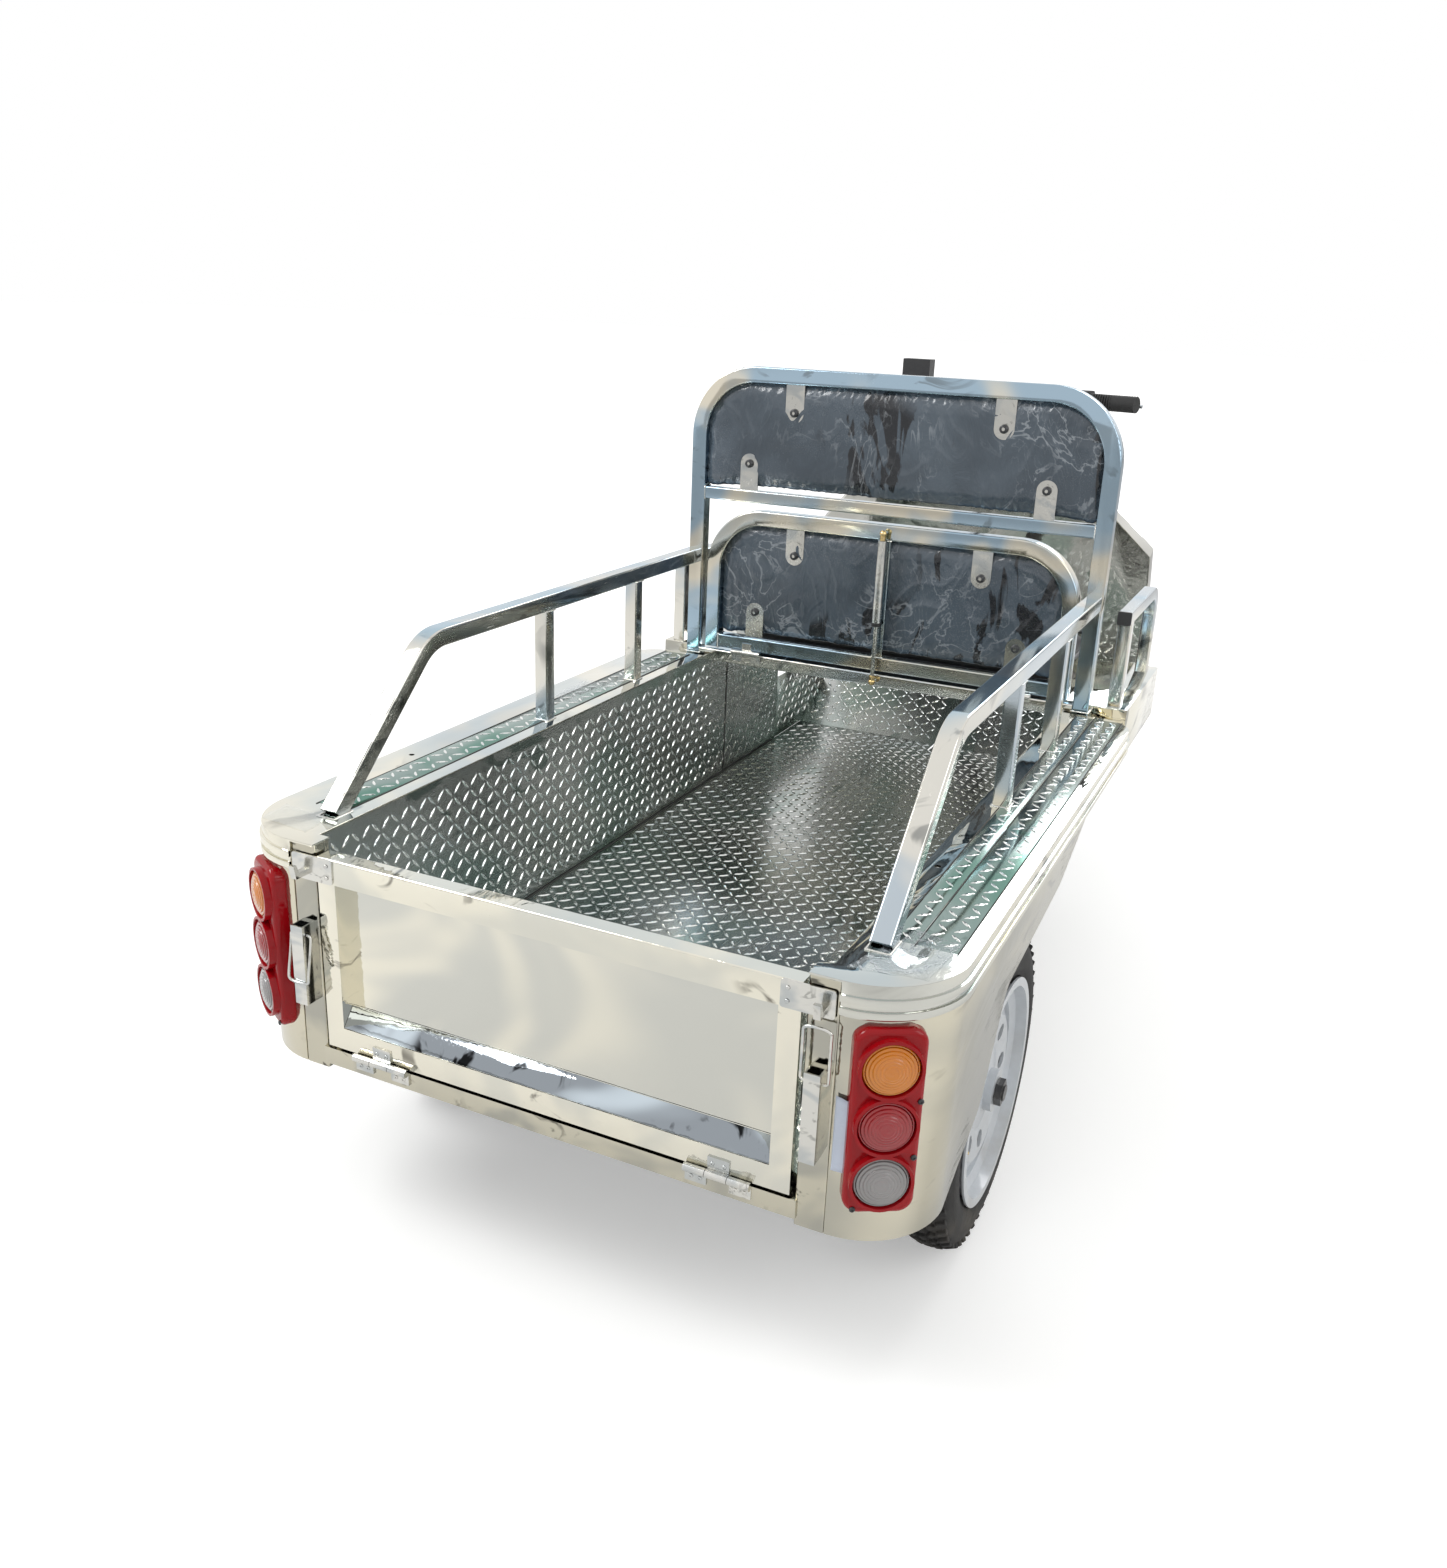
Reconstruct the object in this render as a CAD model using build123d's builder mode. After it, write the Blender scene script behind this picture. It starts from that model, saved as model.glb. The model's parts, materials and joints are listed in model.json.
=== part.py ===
"""Electric cargo tricycle with an open stainless load bed, a tailgate and a folding backrest.

Millimetres. X is the vehicle's right, Y is forward, Z is up from the ground.
Distances along the vehicle are measured forward of the tailgate's rear face.
"""
from build123d import *
from math import asin, atan2, cos, degrees, hypot, radians, sin, sqrt, tan
import os

os.makedirs("parts", exist_ok=True)

# Stance: wheels, axles and overall reach
tyre_radius = 235.0
tyre_width = 78.0
rim_radius = 158.0
rear_axle_at = 444.0
wheelbase = 1846.0
track = 900.0
rear_reach = 23.0

# Sheet and tube stock
sheet = 3.0
tub_sheet = 4.0
hoop_tube = 30.0
rail_tube = 28.0
post_tube = 25.0
tube_edge = 3.0

# Load bed
floor_top = 305.0
tub_half = 372.0
deck_top = 597.0
deck_half = 508.0
deck_front = 1190.0
deck_lip = 44.0
rear_corner = 115.0
front_corner = 60.0
body_bottom = 258.0
tub_start = 34.0
side_wall_front = 1600.0
floor_flat_end = 1760.0
toe_rise = 150.0

# Deck edge beads and mounting holes
bead_height = 9.0
bead_proud = 3.5
bead_drops = (16.0, 32.0)
deck_hole = 9.0
deck_hole_at = 362.0
deck_hole_left_x = 475.0
deck_hole_right_x = 391.0

# Tailgate
gate_width = 696.0
gate_height = 284.0
gate_bottom = 298.0
gate_depth = 28.0
gate_top_rail = 36.0
gate_bottom_rail = 33.0
gate_stile = 28.0
gate_recess = 22.0
band_height = 27.0
gate_gap = 6.0
sill_height = 26.0
sill_gap = 5.0
post_width = 39.0
post_depth = 30.0
post_set = 3.0

# Tailgate hinges
hinge_spacing = 510.0
hinge_length = 90.0
hinge_barrel = 11.0
hinge_leaf = 2.5
knuckle_gap = 0.4

# Toggle latches
ear_bottom = 546.0
ear_inner_x = 322.0
ear_sheet = 2.0
hook_width = 9.0
lever_length = 118.0
lever_width = 20.0
lever_wall = 2.0
lever_depth = 20.0
lever_top = 482.0
ring_wire = 4.0
ring_width = 34.0
ring_length = 70.0

# Side rails
rail_height = 220.0
rail_foot_at = 98.0
rail_bend_at = 318.0
rail_bend = 85.0
rail_posts_at = (640.0, 950.0)

# Seat hoop and folding backrest
hoop_at = 1222.0
hoop_half = 420.0
hoop_height = 580.0
hoop_bend = 120.0
crossbar_height = 332.0
crossbar_tube = 24.0
bar_rise = 12.0
bar_tall = 25.0
fold_half = 378.0
fold_height = 288.0
fold_bend = 105.0
fold_axis_back = 15.0
fold_lift = 6.0
fold_hinge_spacing = 560.0
fold_hinge_length = 64.0
centre_bar = 22.0

# Padded boards
pad_thick = 34.0
pad_clear = 5.0
pad_corner = 62.0
tab_width = 38.0
tab_length = 52.0
tab_sheet = 2.5
bolt_head = 14.0
bolt_rise = 6.0

# Gas strut
strut_cylinder_d = 18.0
strut_cylinder_length = 178.0
strut_rod_d = 8.0
strut_ball_d = 13.0
strut_clear = 0.35
strut_stud_d = 6.0
strut_stand_off = 9.0

# Seat and armrests
seat_board = 12.0
seat_front = 1610.0
seat_cushion_thick = 70.0
seat_side_half = 486.0
seat_side_drop = 90.0
arm_x = 459.0
arm_top = 790.0
arm_tube = 25.0
arm_rear_at = 1232.0
arm_front_at = 1560.0
cap_depth = 5.0

# Steering
rake = 24.0
fork_offset = 45.0
head_low = 600.0
head_high = 735.0
head_tube_d = 56.0
head_bore_d = 44.0
steerer_d = 40.0
fork_leg_d = 38.0
fork_leg_x = 68.0
grip_height = 1118.0
grip_half = 335.0
bar_d = 24.0

# Front sheet metal
shield_half = 400.0
shield_high = 905.0
shield_top_half = 296.0
shield_foot_half = 362.0
shield_back = 62.0
shield_flange = 34.0
cowl_half = 150.0
cowl_depth = 120.0
cowl_low = 640.0
cowl_high = 880.0
lamp_d = 150.0

# Tail lamps
lamp_height = 242.0
lamp_width = 84.0
lamp_depth = 18.0
lamp_low = 306.0
lamp_yaw = 30.0
lens_d = 68.0
lens_dome = 13.0
lens_pitch = 74.0
bezel_rim = 4.0
bezel_rise = 9.0

# Chassis and running gear
chassis_rail_x = 310.0
chassis_tube_w = 40.0
chassis_tube_h = 30.0
axle_tube_d = 44.0
diff_d = 118.0
diff_width = 120.0
motor_d = 130.0
motor_length = 165.0
spring_width = 45.0
spring_leaf = 7.0
spring_span = 560.0
spring_leaves = 4
battery_size = (420.0, 430.0, 135.0)
battery_rear_at = 760.0
hub_d = 62.0
down_tube_d = 50.0
mudguard_gap = 20.0
mudguard_sheet = 3.0

# Positions that follow from the sizes above
front_axle_at = rear_axle_at + wheelbase
rear_y = -(front_axle_at + tyre_radius - rear_reach) / 2
gate_half = gate_width / 2
post_inner = gate_half + gate_gap
post_outer = post_inner + post_width
corner_x = deck_half - rear_corner
gate_top = gate_bottom + gate_height
deck_under = deck_top - sheet
floor_under = floor_top - tub_sheet
frame_top = floor_under
frame_low = frame_top - chassis_tube_h
bar_top = deck_top + bar_rise
hoop_x = hoop_half - hoop_tube / 2
bar_rear = hoop_at - hoop_tube / 2
strut_at = bar_rear - strut_ball_d / 2 - strut_stand_off
shield_low = floor_top + toe_rise
spring_x = chassis_rail_x


def fwd(distance):
    """Y of a place this far forward of the tailgate's rear face."""
    return rear_y + distance


def head_at(height):
    """Distance forward of the steering axis at a height above the ground."""
    axle_back = fork_offset / cos(radians(rake))
    return front_axle_at - axle_back - (height - tyre_radius) * tan(radians(rake))


def save(part, name):
    """Label a finished piece and write it to its own file."""
    part.label = name
    export_step(part, f"parts/{name}.step")


def swept_tube(corners, bend, size, across):
    """Square tube with rounded edges along a path of lines and arcs."""
    with BuildPart() as tube:
        with BuildLine():
            path = FilletPolyline(*corners, radius=bend)
        with BuildSketch(Plane(origin=path @ 0, x_dir=across, z_dir=path % 0)):
            RectangleRounded(size, size, tube_edge)
        sweep()
    return tube.part


def round_tube(corners, bend, diameter):
    """Round tube along a path of lines and arcs."""
    with BuildPart() as tube:
        with BuildLine():
            path = FilletPolyline(*corners, radius=bend)
        with BuildSketch(Plane(origin=path @ 0, z_dir=path % 0)):
            Circle(diameter / 2)
        sweep()
    return tube.part


def straight_rod(start, end, diameter):
    """Round rod between two points."""
    span = Vector(*end) - Vector(*start)
    with BuildPart() as rod:
        with BuildSketch(Plane(origin=start, z_dir=span)):
            Circle(diameter / 2)
        extrude(amount=span.length)
    return rod.part


toe_end = head_at(shield_low) - shield_back / cos(radians(rake))
head_mid = (head_low + head_high) / 2
frame_mid = (frame_top + frame_low) / 2
front_member_at = floor_flat_end - 60
down_path = (
    (0, fwd(front_member_at), frame_mid),
    (0, fwd(floor_flat_end + 40), frame_mid),
    (0, fwd(toe_end - 90), floor_top + toe_rise - 69),
    (0, fwd(head_at(head_mid + 32)), head_mid + 32),
)
down_tube = round_tube(down_path, 90.0, down_tube_d)
down_room = round_tube(down_path, 90.0, down_tube_d + 6)

# Bed floor: one flat plate that rises into the toe board in front of the driver
with BuildPart() as bed_floor:
    with BuildSketch(Plane.YZ):
        with BuildLine():
            Polyline(
                (fwd(tub_start), floor_top),
                (fwd(floor_flat_end), floor_top),
                (fwd(toe_end), floor_top + toe_rise),
                (fwd(toe_end), floor_top + toe_rise - tub_sheet * 1.13),
                (fwd(floor_flat_end), floor_under),
                (fwd(tub_start), floor_under),
                close=True,
            )
        make_face()
    extrude(amount=tub_half, both=True)
    add(down_room, mode=Mode.SUBTRACT)
save(bed_floor.part, "bed_floor")

# Bed side walls stand on the floor's edges and turn out under the decks
with BuildPart() as bed_walls:
    for side in (-1, 1):
        with BuildSketch(Plane.XZ.offset(-fwd(tub_start))):
            with BuildLine():
                Polyline(
                    (side * tub_half, floor_under),
                    (side * tub_half, deck_under),
                    (side * (tub_half + tub_sheet), deck_under),
                    (side * (tub_half + tub_sheet), floor_under),
                    close=True,
                )
            make_face()
        extrude(amount=-(side_wall_front - tub_start))
    with Locations((0, fwd(hoop_at), bar_top - bar_tall / 2)):
        Box(3 * tub_half, hoop_tube, bar_tall, mode=Mode.SUBTRACT)
save(bed_walls.part, "bed_walls")


def deck_outline(grow, drop, height):
    """Plan of the right-hand deck, grown outward, extruded down from a drop below its top."""
    with BuildPart() as slab:
        with BuildSketch(Plane.XY.offset(deck_top - drop - height)):
            with BuildLine():
                Polyline(
                    (post_inner, fwd(-grow)),
                    (deck_half + grow, fwd(-grow)),
                    (deck_half + grow, fwd(deck_front + grow)),
                    (tub_half, fwd(deck_front + grow)),
                    (tub_half, fwd(tub_start)),
                    (post_inner, fwd(tub_start)),
                    close=True,
                )
            make_face()
        extrude(amount=height)
        uprights = slab.edges().filter_by(Axis.Z).group_by(Axis.X)[-1].sort_by(Axis.Y)
        fillet(uprights[0], radius=rear_corner + grow)
        fillet(slab.edges().filter_by(Axis.Z).group_by(Axis.X)[-1].sort_by(Axis.Y)[-1], radius=front_corner + grow)
    return slab.part


def under_deck_room(inner, face, rear, front):
    """Block under the deck plate that keeps the lip clear of a wall or post."""
    with BuildPart() as room:
        with BuildSketch(Plane.XY.offset(deck_under - 2 * deck_lip)):
            with Locations(((inner + face) / 2, fwd((rear + front) / 2))):
                Rectangle(face - inner, front - rear)
        extrude(amount=2 * deck_lip)
    return room.part


wall_room = under_deck_room(tub_half - 1, tub_half + tub_sheet, 0, deck_front + 10)
post_room = under_deck_room(post_inner - 1, post_outer, -10, post_set + post_depth)


def deck(hole_x):
    """Deck plate with its turned-down lip, two beads and its mounting hole, for the right side."""
    plate = deck_outline(0.0, 0.0, deck_lip)
    hollow = deck_outline(-sheet, sheet, deck_lip)
    beads = [deck_outline(bead_proud, drop, bead_height) for drop in bead_drops]
    with BuildPart() as half:
        add(plate)
        for bead in beads:
            add(bead)
        add(hollow, mode=Mode.SUBTRACT)
        add(wall_room, mode=Mode.SUBTRACT)
        add(post_room, mode=Mode.SUBTRACT)
        with Locations((hole_x, fwd(deck_hole_at), deck_top)):
            Hole(deck_hole / 2, depth=deck_lip)
    return half.part


save(deck(deck_hole_right_x), "deck_right")
with BuildPart() as deck_left:
    mirror(deck(deck_hole_left_x), about=Plane.YZ)
save(deck_left.part, "deck_left")

# Side panels: rounded rear corner, a wheel arch and a front edge that sweeps up to the deck
panel_face = deck_half - sheet
panel_front = deck_front - front_corner
arch_points = (
    (post_outer - deck_half, body_bottom - 50),
    (112.0, body_bottom - 50),
    (112.0, body_bottom),
    (262.0, 322.0),
    (345.0, 455.0),
    (646.0, 486.0),
    (864.0, 560.0),
    (panel_front + 10, 560.0),
    (panel_front + 10, body_bottom - 50),
)


def corner_block(inner, face, rear, front, radius):
    """Upright block under one deck with its rear outer corner rounded."""
    with BuildPart() as block:
        with BuildSketch(Plane.XY.offset(body_bottom)) as plan:
            with BuildLine():
                Polyline(
                    (inner, fwd(rear)), (face, fwd(rear)), (face, fwd(front)), (inner, fwd(front)), close=True
                )
            make_face()
            fillet(plan.vertices().sort_by_distance((face, fwd(rear)))[0], radius=radius)
        extrude(amount=deck_under - body_bottom)
    return block.part


panel_solid = corner_block(0, panel_face, sheet, panel_front, rear_corner - sheet)
panel_core = corner_block(0, panel_face - sheet, 2 * sheet, panel_front + 1, rear_corner - 2 * sheet)
inner_room = corner_block(-1, post_outer, -1, rear_corner, 1.0)
with BuildPart() as arch_cut:
    with BuildSketch(Plane.YZ.offset(corner_x)):
        with BuildLine():
            Polyline(*[(fwd(along), height) for along, height in arch_points[1:]], close=True)
        make_face()
    extrude(amount=deck_half)
    slopes = arch_cut.edges().filter_by(Axis.X)
    low_bend = slopes.sort_by_distance((deck_half, fwd(262.0), 322.0))[0]
    top_bend = slopes.sort_by_distance((deck_half, fwd(345.0), 455.0))[0]
    fillet([low_bend], radius=60.0)
    top_bend = arch_cut.edges().filter_by(Axis.X).sort_by_distance((deck_half, fwd(345.0), 455.0))[0]
    fillet([top_bend], radius=45.0)
with BuildPart() as side_panel_right:
    add(panel_solid)
    add(panel_core, mode=Mode.SUBTRACT)
    add(inner_room, mode=Mode.SUBTRACT)
    add(arch_cut.part, mode=Mode.SUBTRACT)
save(side_panel_right.part, "side_panel_right")
with BuildPart() as side_panel_left:
    mirror(side_panel_right.part, about=Plane.YZ)
save(side_panel_left.part, "side_panel_left")

# Rear frame: two posts joined by the sill under the tailgate
with BuildPart() as rear_frame:
    for side in (-1, 1):
        with BuildSketch(Plane.XY.offset(body_bottom)):
            with Locations((side * (post_inner + post_width / 2), fwd(post_set + post_depth / 2))):
                RectangleRounded(post_width, post_depth, tube_edge)
        extrude(amount=deck_under - body_bottom)
    with BuildSketch(Plane.XZ.offset(-fwd(0))):
        with Locations((0, gate_bottom - sill_gap - sill_height / 2)):
            Rectangle(2 * post_inner + 2 * tube_edge, sill_height)
    extrude(amount=-post_depth)
save(rear_frame.part, "rear_frame")

# Tailgate frame: rails and stiles of one depth round a recessed panel
hinge_axis_back = hinge_barrel / 2 + 0.5
hinge_axis_z = gate_bottom - sill_gap / 2
with BuildPart() as tailgate_frame:
    with BuildSketch(Plane.XZ.offset(-fwd(0))):
        with Locations((0, gate_bottom + gate_height / 2)):
            Rectangle(gate_width, gate_height)
        with Locations((0, gate_bottom + (gate_height + gate_bottom_rail - gate_top_rail) / 2)):
            Rectangle(
                gate_width - 2 * gate_stile,
                gate_height - gate_top_rail - gate_bottom_rail,
                mode=Mode.SUBTRACT,
            )
    extrude(amount=-gate_depth)
    outer = tailgate_frame.edges().filter_by(Axis.X).group_by(Axis.Z)[-1]
    fillet(outer, radius=tube_edge)
save(tailgate_frame.part, "tailgate_frame")

panel_low = gate_bottom + gate_bottom_rail
panel_high = gate_top - gate_top_rail
panel_half = gate_half - gate_stile
with BuildPart() as tailgate_panel:
    with BuildSketch(Plane.YZ):
        with BuildLine():
            Polyline(
                (fwd(gate_recess), panel_high),
                (fwd(gate_recess), panel_low + band_height),
                (fwd(sheet), panel_low),
                (fwd(sheet + 4.5), panel_low),
                (fwd(gate_recess + sheet), panel_low + band_height - sheet),
                (fwd(gate_recess + sheet), panel_high),
                close=True,
            )
        make_face()
    extrude(amount=panel_half, both=True)
save(tailgate_panel.part, "tailgate_panel")

# Tailgate hinges: leaves on the gate and on the sill, knuckles in turn about one pin
knuckle = hinge_length / 3


def hinge_leaf_part(centres, height, moving):
    """Leaves and knuckles of one half of the tailgate hinges."""
    offsets = (0.0,) if moving else (-knuckle, knuckle)
    direction = 1 if moving else -1
    with BuildPart() as leaves:
        for centre in centres:
            for step in offsets:
                width = knuckle - 2 * knuckle_gap
                at_x = centre + step
                with BuildSketch(Plane.YZ.offset(at_x - width / 2)):
                    with Locations((fwd(-hinge_axis_back), hinge_axis_z)):
                        Circle(hinge_barrel / 2)
                extrude(amount=width)
                with BuildSketch(Plane.XZ.offset(-fwd(0))):
                    with Locations((at_x, hinge_axis_z + direction * (sill_gap / 2 + height / 2))):
                        Rectangle(width, height)
                extrude(amount=hinge_leaf)
                with BuildSketch(Plane.XZ.offset(-fwd(0))):
                    with Locations((at_x, hinge_axis_z + direction * (sill_gap / 4 + 1.0))):
                        Rectangle(width, sill_gap / 2 + 2.0)
                extrude(amount=hinge_leaf)
    return leaves.part


hinge_centres = (-hinge_spacing / 2, hinge_spacing / 2)
save(hinge_leaf_part(hinge_centres, 20.0, True), "tailgate_hinge_upper")
save(hinge_leaf_part(hinge_centres, 18.0, False), "tailgate_hinge_lower")

# Ears at the gate's top corners reach over the posts and carry the keeper hooks
ear_outer_x = post_outer - 4.0
hook_x = post_inner + post_width / 2
with BuildPart() as tailgate_ears:
    for side in (-1, 1):
        with BuildSketch(Plane.XZ.offset(-fwd(0))):
            with Locations((side * (ear_inner_x + ear_outer_x) / 2, (ear_bottom + gate_top) / 2)):
                RectangleRounded(ear_outer_x - ear_inner_x, gate_top - ear_bottom, 4.0)
        extrude(amount=ear_sheet)
        with BuildSketch(Plane.YZ.offset(side * hook_x - hook_width / 2)):
            with BuildLine():
                Polyline(
                    (fwd(-ear_sheet), ear_bottom + 4),
                    (fwd(-ear_sheet - 15), ear_bottom + 4),
                    (fwd(-ear_sheet - 19), ear_bottom + 24),
                    (fwd(-ear_sheet - 13), ear_bottom + 24),
                    (fwd(-ear_sheet - 10), ear_bottom + 12),
                    (fwd(-ear_sheet), ear_bottom + 12),
                    close=True,
                )
            make_face()
        extrude(amount=hook_width)
save(tailgate_ears.part, "tailgate_ears")

# Toggle latches: a channel lever on each post and its wire ring
lever_bottom = lever_top - lever_length
with BuildPart() as latch_levers:
    for side in (-1, 1):
        with BuildSketch(Plane.XY.offset(lever_bottom)):
            with Locations((side * hook_x, fwd(-lever_depth / 2))):
                Rectangle(lever_width, lever_depth)
            with Locations((side * hook_x, fwd(-lever_depth / 2 + lever_wall))):
                Rectangle(lever_width - 2 * lever_wall, lever_depth, mode=Mode.SUBTRACT)
        extrude(amount=lever_length)
        with BuildSketch(Plane.XY.offset(lever_bottom)):
            with Locations((side * hook_x, fwd((post_set - lever_wall) / 2))):
                Rectangle(lever_width, lever_wall + post_set)
        extrude(amount=lever_length)
save(latch_levers.part, "latch_levers")

# Left ring hangs beside its lever, right ring stands up to its hook
ring_at = -lever_depth + 8.0
ring_hang_at = -lever_depth - ring_wire / 2 - 0.5
ring_pivot_z = lever_top - 14.0
with BuildPart() as latch_rings:
    for side, direction, end_at in ((-1, -1, ring_hang_at), (1, 1, ring_at)):
        top_z = ring_pivot_z + direction * ring_length
        outer_x = ring_width / 2
        pin_x = lever_width / 2
        loop = (
            (side * hook_x - pin_x, fwd(ring_at), ring_pivot_z),
            (side * hook_x - outer_x, fwd(ring_at), ring_pivot_z),
            (side * hook_x - outer_x, fwd(end_at), top_z),
            (side * hook_x + outer_x, fwd(end_at), top_z),
            (side * hook_x + outer_x, fwd(ring_at), ring_pivot_z),
            (side * hook_x + pin_x, fwd(ring_at), ring_pivot_z),
        )
        with BuildLine():
            ring_path = FilletPolyline(*loop, radius=[3.0, 12.0, 12.0, 3.0])
        with BuildSketch(Plane(origin=ring_path @ 0, z_dir=ring_path % 0)):
            Circle(ring_wire / 2)
        sweep()
save(latch_rings.part, "latch_rings")

# Tail lamps sit on the rounded corners
lamp_mid_z = lamp_low + lamp_height / 2
lamp_angle = radians(lamp_yaw)
lamp_x = corner_x + rear_corner * sin(lamp_angle)
lamp_at = rear_corner - rear_corner * cos(lamp_angle)
lamp_plane = Plane(
    origin=(lamp_x, fwd(lamp_at), lamp_mid_z),
    x_dir=(cos(lamp_angle), sin(lamp_angle), 0),
    z_dir=(sin(lamp_angle), -cos(lamp_angle), 0),
)
lens_rows = (("amber", lens_pitch), ("red", 0.0), ("clear", -lens_pitch))
lamp_sink = 12.0
with BuildPart() as corner_solid:
    with BuildSketch(Plane.XY.offset(body_bottom)):
        with Locations((corner_x, fwd(rear_corner))):
            Circle(rear_corner - sheet)
    extrude(amount=deck_top - body_bottom)
with BuildPart() as lamp_right:
    with BuildSketch(lamp_plane.offset(-lamp_sink)):
        RectangleRounded(lamp_width, lamp_height, 20.0)
    extrude(amount=lamp_sink + lamp_depth - bezel_rise)
    fillet(lamp_right.faces().sort_by_distance(lamp_plane.offset(80).origin)[0].edges(), radius=7.0)
    for name, rise in lens_rows:
        with BuildSketch(lamp_plane.offset(lamp_depth - bezel_rise - 1)):
            with Locations((0, rise)):
                Circle(lens_d / 2 + bezel_rim)
        extrude(amount=bezel_rise + 1)
        with BuildSketch(lamp_plane.offset(lamp_depth - bezel_rise)):
            with Locations((0, rise)):
                Circle(lens_d / 2)
        extrude(amount=bezel_rise, mode=Mode.SUBTRACT)
    add(corner_solid.part, mode=Mode.SUBTRACT)
with BuildPart() as tail_lamp_housings:
    add(lamp_right.part)
    mirror(lamp_right.part, about=Plane.YZ)
save(tail_lamp_housings.part, "tail_lamp_housings")

lens_sphere = ((lens_d / 2) ** 2 + lens_dome**2) / (2 * lens_dome)
for name, rise in lens_rows:
    with BuildPart() as lens:
        with BuildSketch(lamp_plane.offset(lamp_depth - bezel_rise)):
            with Locations((0, rise)):
                Circle(lens_d / 2)
        extrude(amount=2.0)
        dome_top = lamp_plane.offset(lamp_depth - bezel_rise + 2.0 + lens_dome - lens_sphere)
        centre = dome_top.origin + Vector(0, 0, rise)
        with BuildPart(mode=Mode.PRIVATE) as ball:
            with Locations(Location(centre)):
                Sphere(lens_sphere)
        with BuildPart(mode=Mode.PRIVATE) as dome:
            with BuildSketch(lamp_plane.offset(lamp_depth - bezel_rise + 1.5)):
                with Locations((0, rise)):
                    Circle(lens_d / 2)
            extrude(amount=lens_dome + 5)
            add(ball.part, mode=Mode.INTERSECT)
        add(dome.part)
    with BuildPart() as lens_pair:
        add(lens.part)
        mirror(lens.part, about=Plane.YZ)
    save(lens_pair.part, f"lamp_lens_{name}")

# Side rails: bent square tube from the deck's rear to the hoop, on two posts each
rail_mid = deck_top + rail_height - rail_tube / 2
rail_path = (
    (hoop_x, fwd(rail_foot_at), deck_top),
    (hoop_x, fwd(rail_bend_at), rail_mid),
    (hoop_x, fwd(bar_rear), rail_mid),
)
rail_bar = swept_tube(rail_path, rail_bend, rail_tube, (1, 0, 0))
with BuildPart() as side_rail_right:
    add(rail_bar)
    with Locations((hoop_x, fwd(rail_foot_at), deck_top - rail_tube / 2)):
        Box(2 * rail_tube, 3 * rail_tube, rail_tube, mode=Mode.SUBTRACT)
    for along in rail_posts_at:
        with BuildSketch(Plane.XY.offset(deck_top)):
            with Locations((hoop_x, fwd(along))):
                RectangleRounded(post_tube, post_tube, tube_edge)
        extrude(amount=rail_height - rail_tube + tube_edge)
save(side_rail_right.part, "side_rail_right")
with BuildPart() as side_rail_left:
    mirror(side_rail_right.part, about=Plane.YZ)
save(side_rail_left.part, "side_rail_left")

# Tall seat hoop with its crossbar, standing on the chassis outside the bed walls
hoop_foot = deck_top - bar_tall
hoop_crown = deck_top + hoop_height - hoop_tube / 2
hoop_path = (
    (-hoop_x, fwd(hoop_at), hoop_foot),
    (-hoop_x, fwd(hoop_at), hoop_crown),
    (hoop_x, fwd(hoop_at), hoop_crown),
    (hoop_x, fwd(hoop_at), hoop_foot),
)
hoop_bar = swept_tube(hoop_path, hoop_bend, hoop_tube, (1, 0, 0))
hoop_inner = hoop_half - hoop_tube
with BuildPart() as seat_hoop:
    add(hoop_bar)
    with BuildSketch(Plane.YZ.offset(-hoop_inner - tube_edge)):
        with Locations((fwd(hoop_at), deck_top + crossbar_height)):
            RectangleRounded(crossbar_tube, crossbar_tube, tube_edge)
    extrude(amount=2 * (hoop_inner + tube_edge))
save(seat_hoop.part, "seat_hoop")

# Hinge bar across the bed between the hoop's legs, with the strut's lower stud
strut_low_z = bar_top - bar_tall / 2
with BuildPart() as hinge_bar:
    with BuildSketch(Plane.YZ.offset(-hoop_inner)):
        with Locations((fwd(hoop_at), bar_top - bar_tall / 2)):
            RectangleRounded(hoop_tube, bar_tall, tube_edge)
    extrude(amount=2 * hoop_inner)
    with BuildSketch(Plane.XZ.offset(-fwd(strut_at + strut_ball_d / 2 + 4.5))):
        with Locations((0, strut_low_z)):
            Circle(strut_stud_d / 2)
    extrude(amount=-strut_stand_off)
save(hinge_bar.part, "hinge_bar")

# Folding backrest: low hoop with bottom rail and centre bar
fold_low = bar_top + fold_lift
fold_x = fold_half - hoop_tube / 2
fold_crown = fold_low + fold_height - hoop_tube / 2
fold_base = fold_low + rail_tube / 2
fold_path = (
    (-fold_x, fwd(hoop_at), fold_low),
    (-fold_x, fwd(hoop_at), fold_crown),
    (fold_x, fwd(hoop_at), fold_crown),
    (fold_x, fwd(hoop_at), fold_low),
)
fold_bar = swept_tube(fold_path, fold_bend, hoop_tube, (1, 0, 0))
fold_inner = fold_half - hoop_tube
with BuildPart() as fold_hoop:
    add(fold_bar)
    with BuildSketch(Plane.YZ.offset(-fold_inner - tube_edge)):
        with Locations((fwd(hoop_at), fold_base)):
            RectangleRounded(rail_tube, rail_tube, tube_edge)
    extrude(amount=2 * (fold_inner + tube_edge))
    with BuildSketch(Plane.XY.offset(fold_low + rail_tube - tube_edge)):
        with Locations((0, fwd(hoop_at - hoop_tube / 2 + centre_bar / 4))):
            RectangleRounded(centre_bar, centre_bar / 2, 2.0)
    extrude(amount=fold_height - hoop_tube - rail_tube + 2 * tube_edge)
    with BuildSketch(Plane.XZ.offset(-fwd(strut_at + strut_ball_d / 2 + 0.3))):
        with Locations((0, fold_crown)):
            Circle(strut_stud_d / 2)
    extrude(amount=-(bar_rear - strut_at))
save(fold_hoop.part, "fold_hoop")

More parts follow.
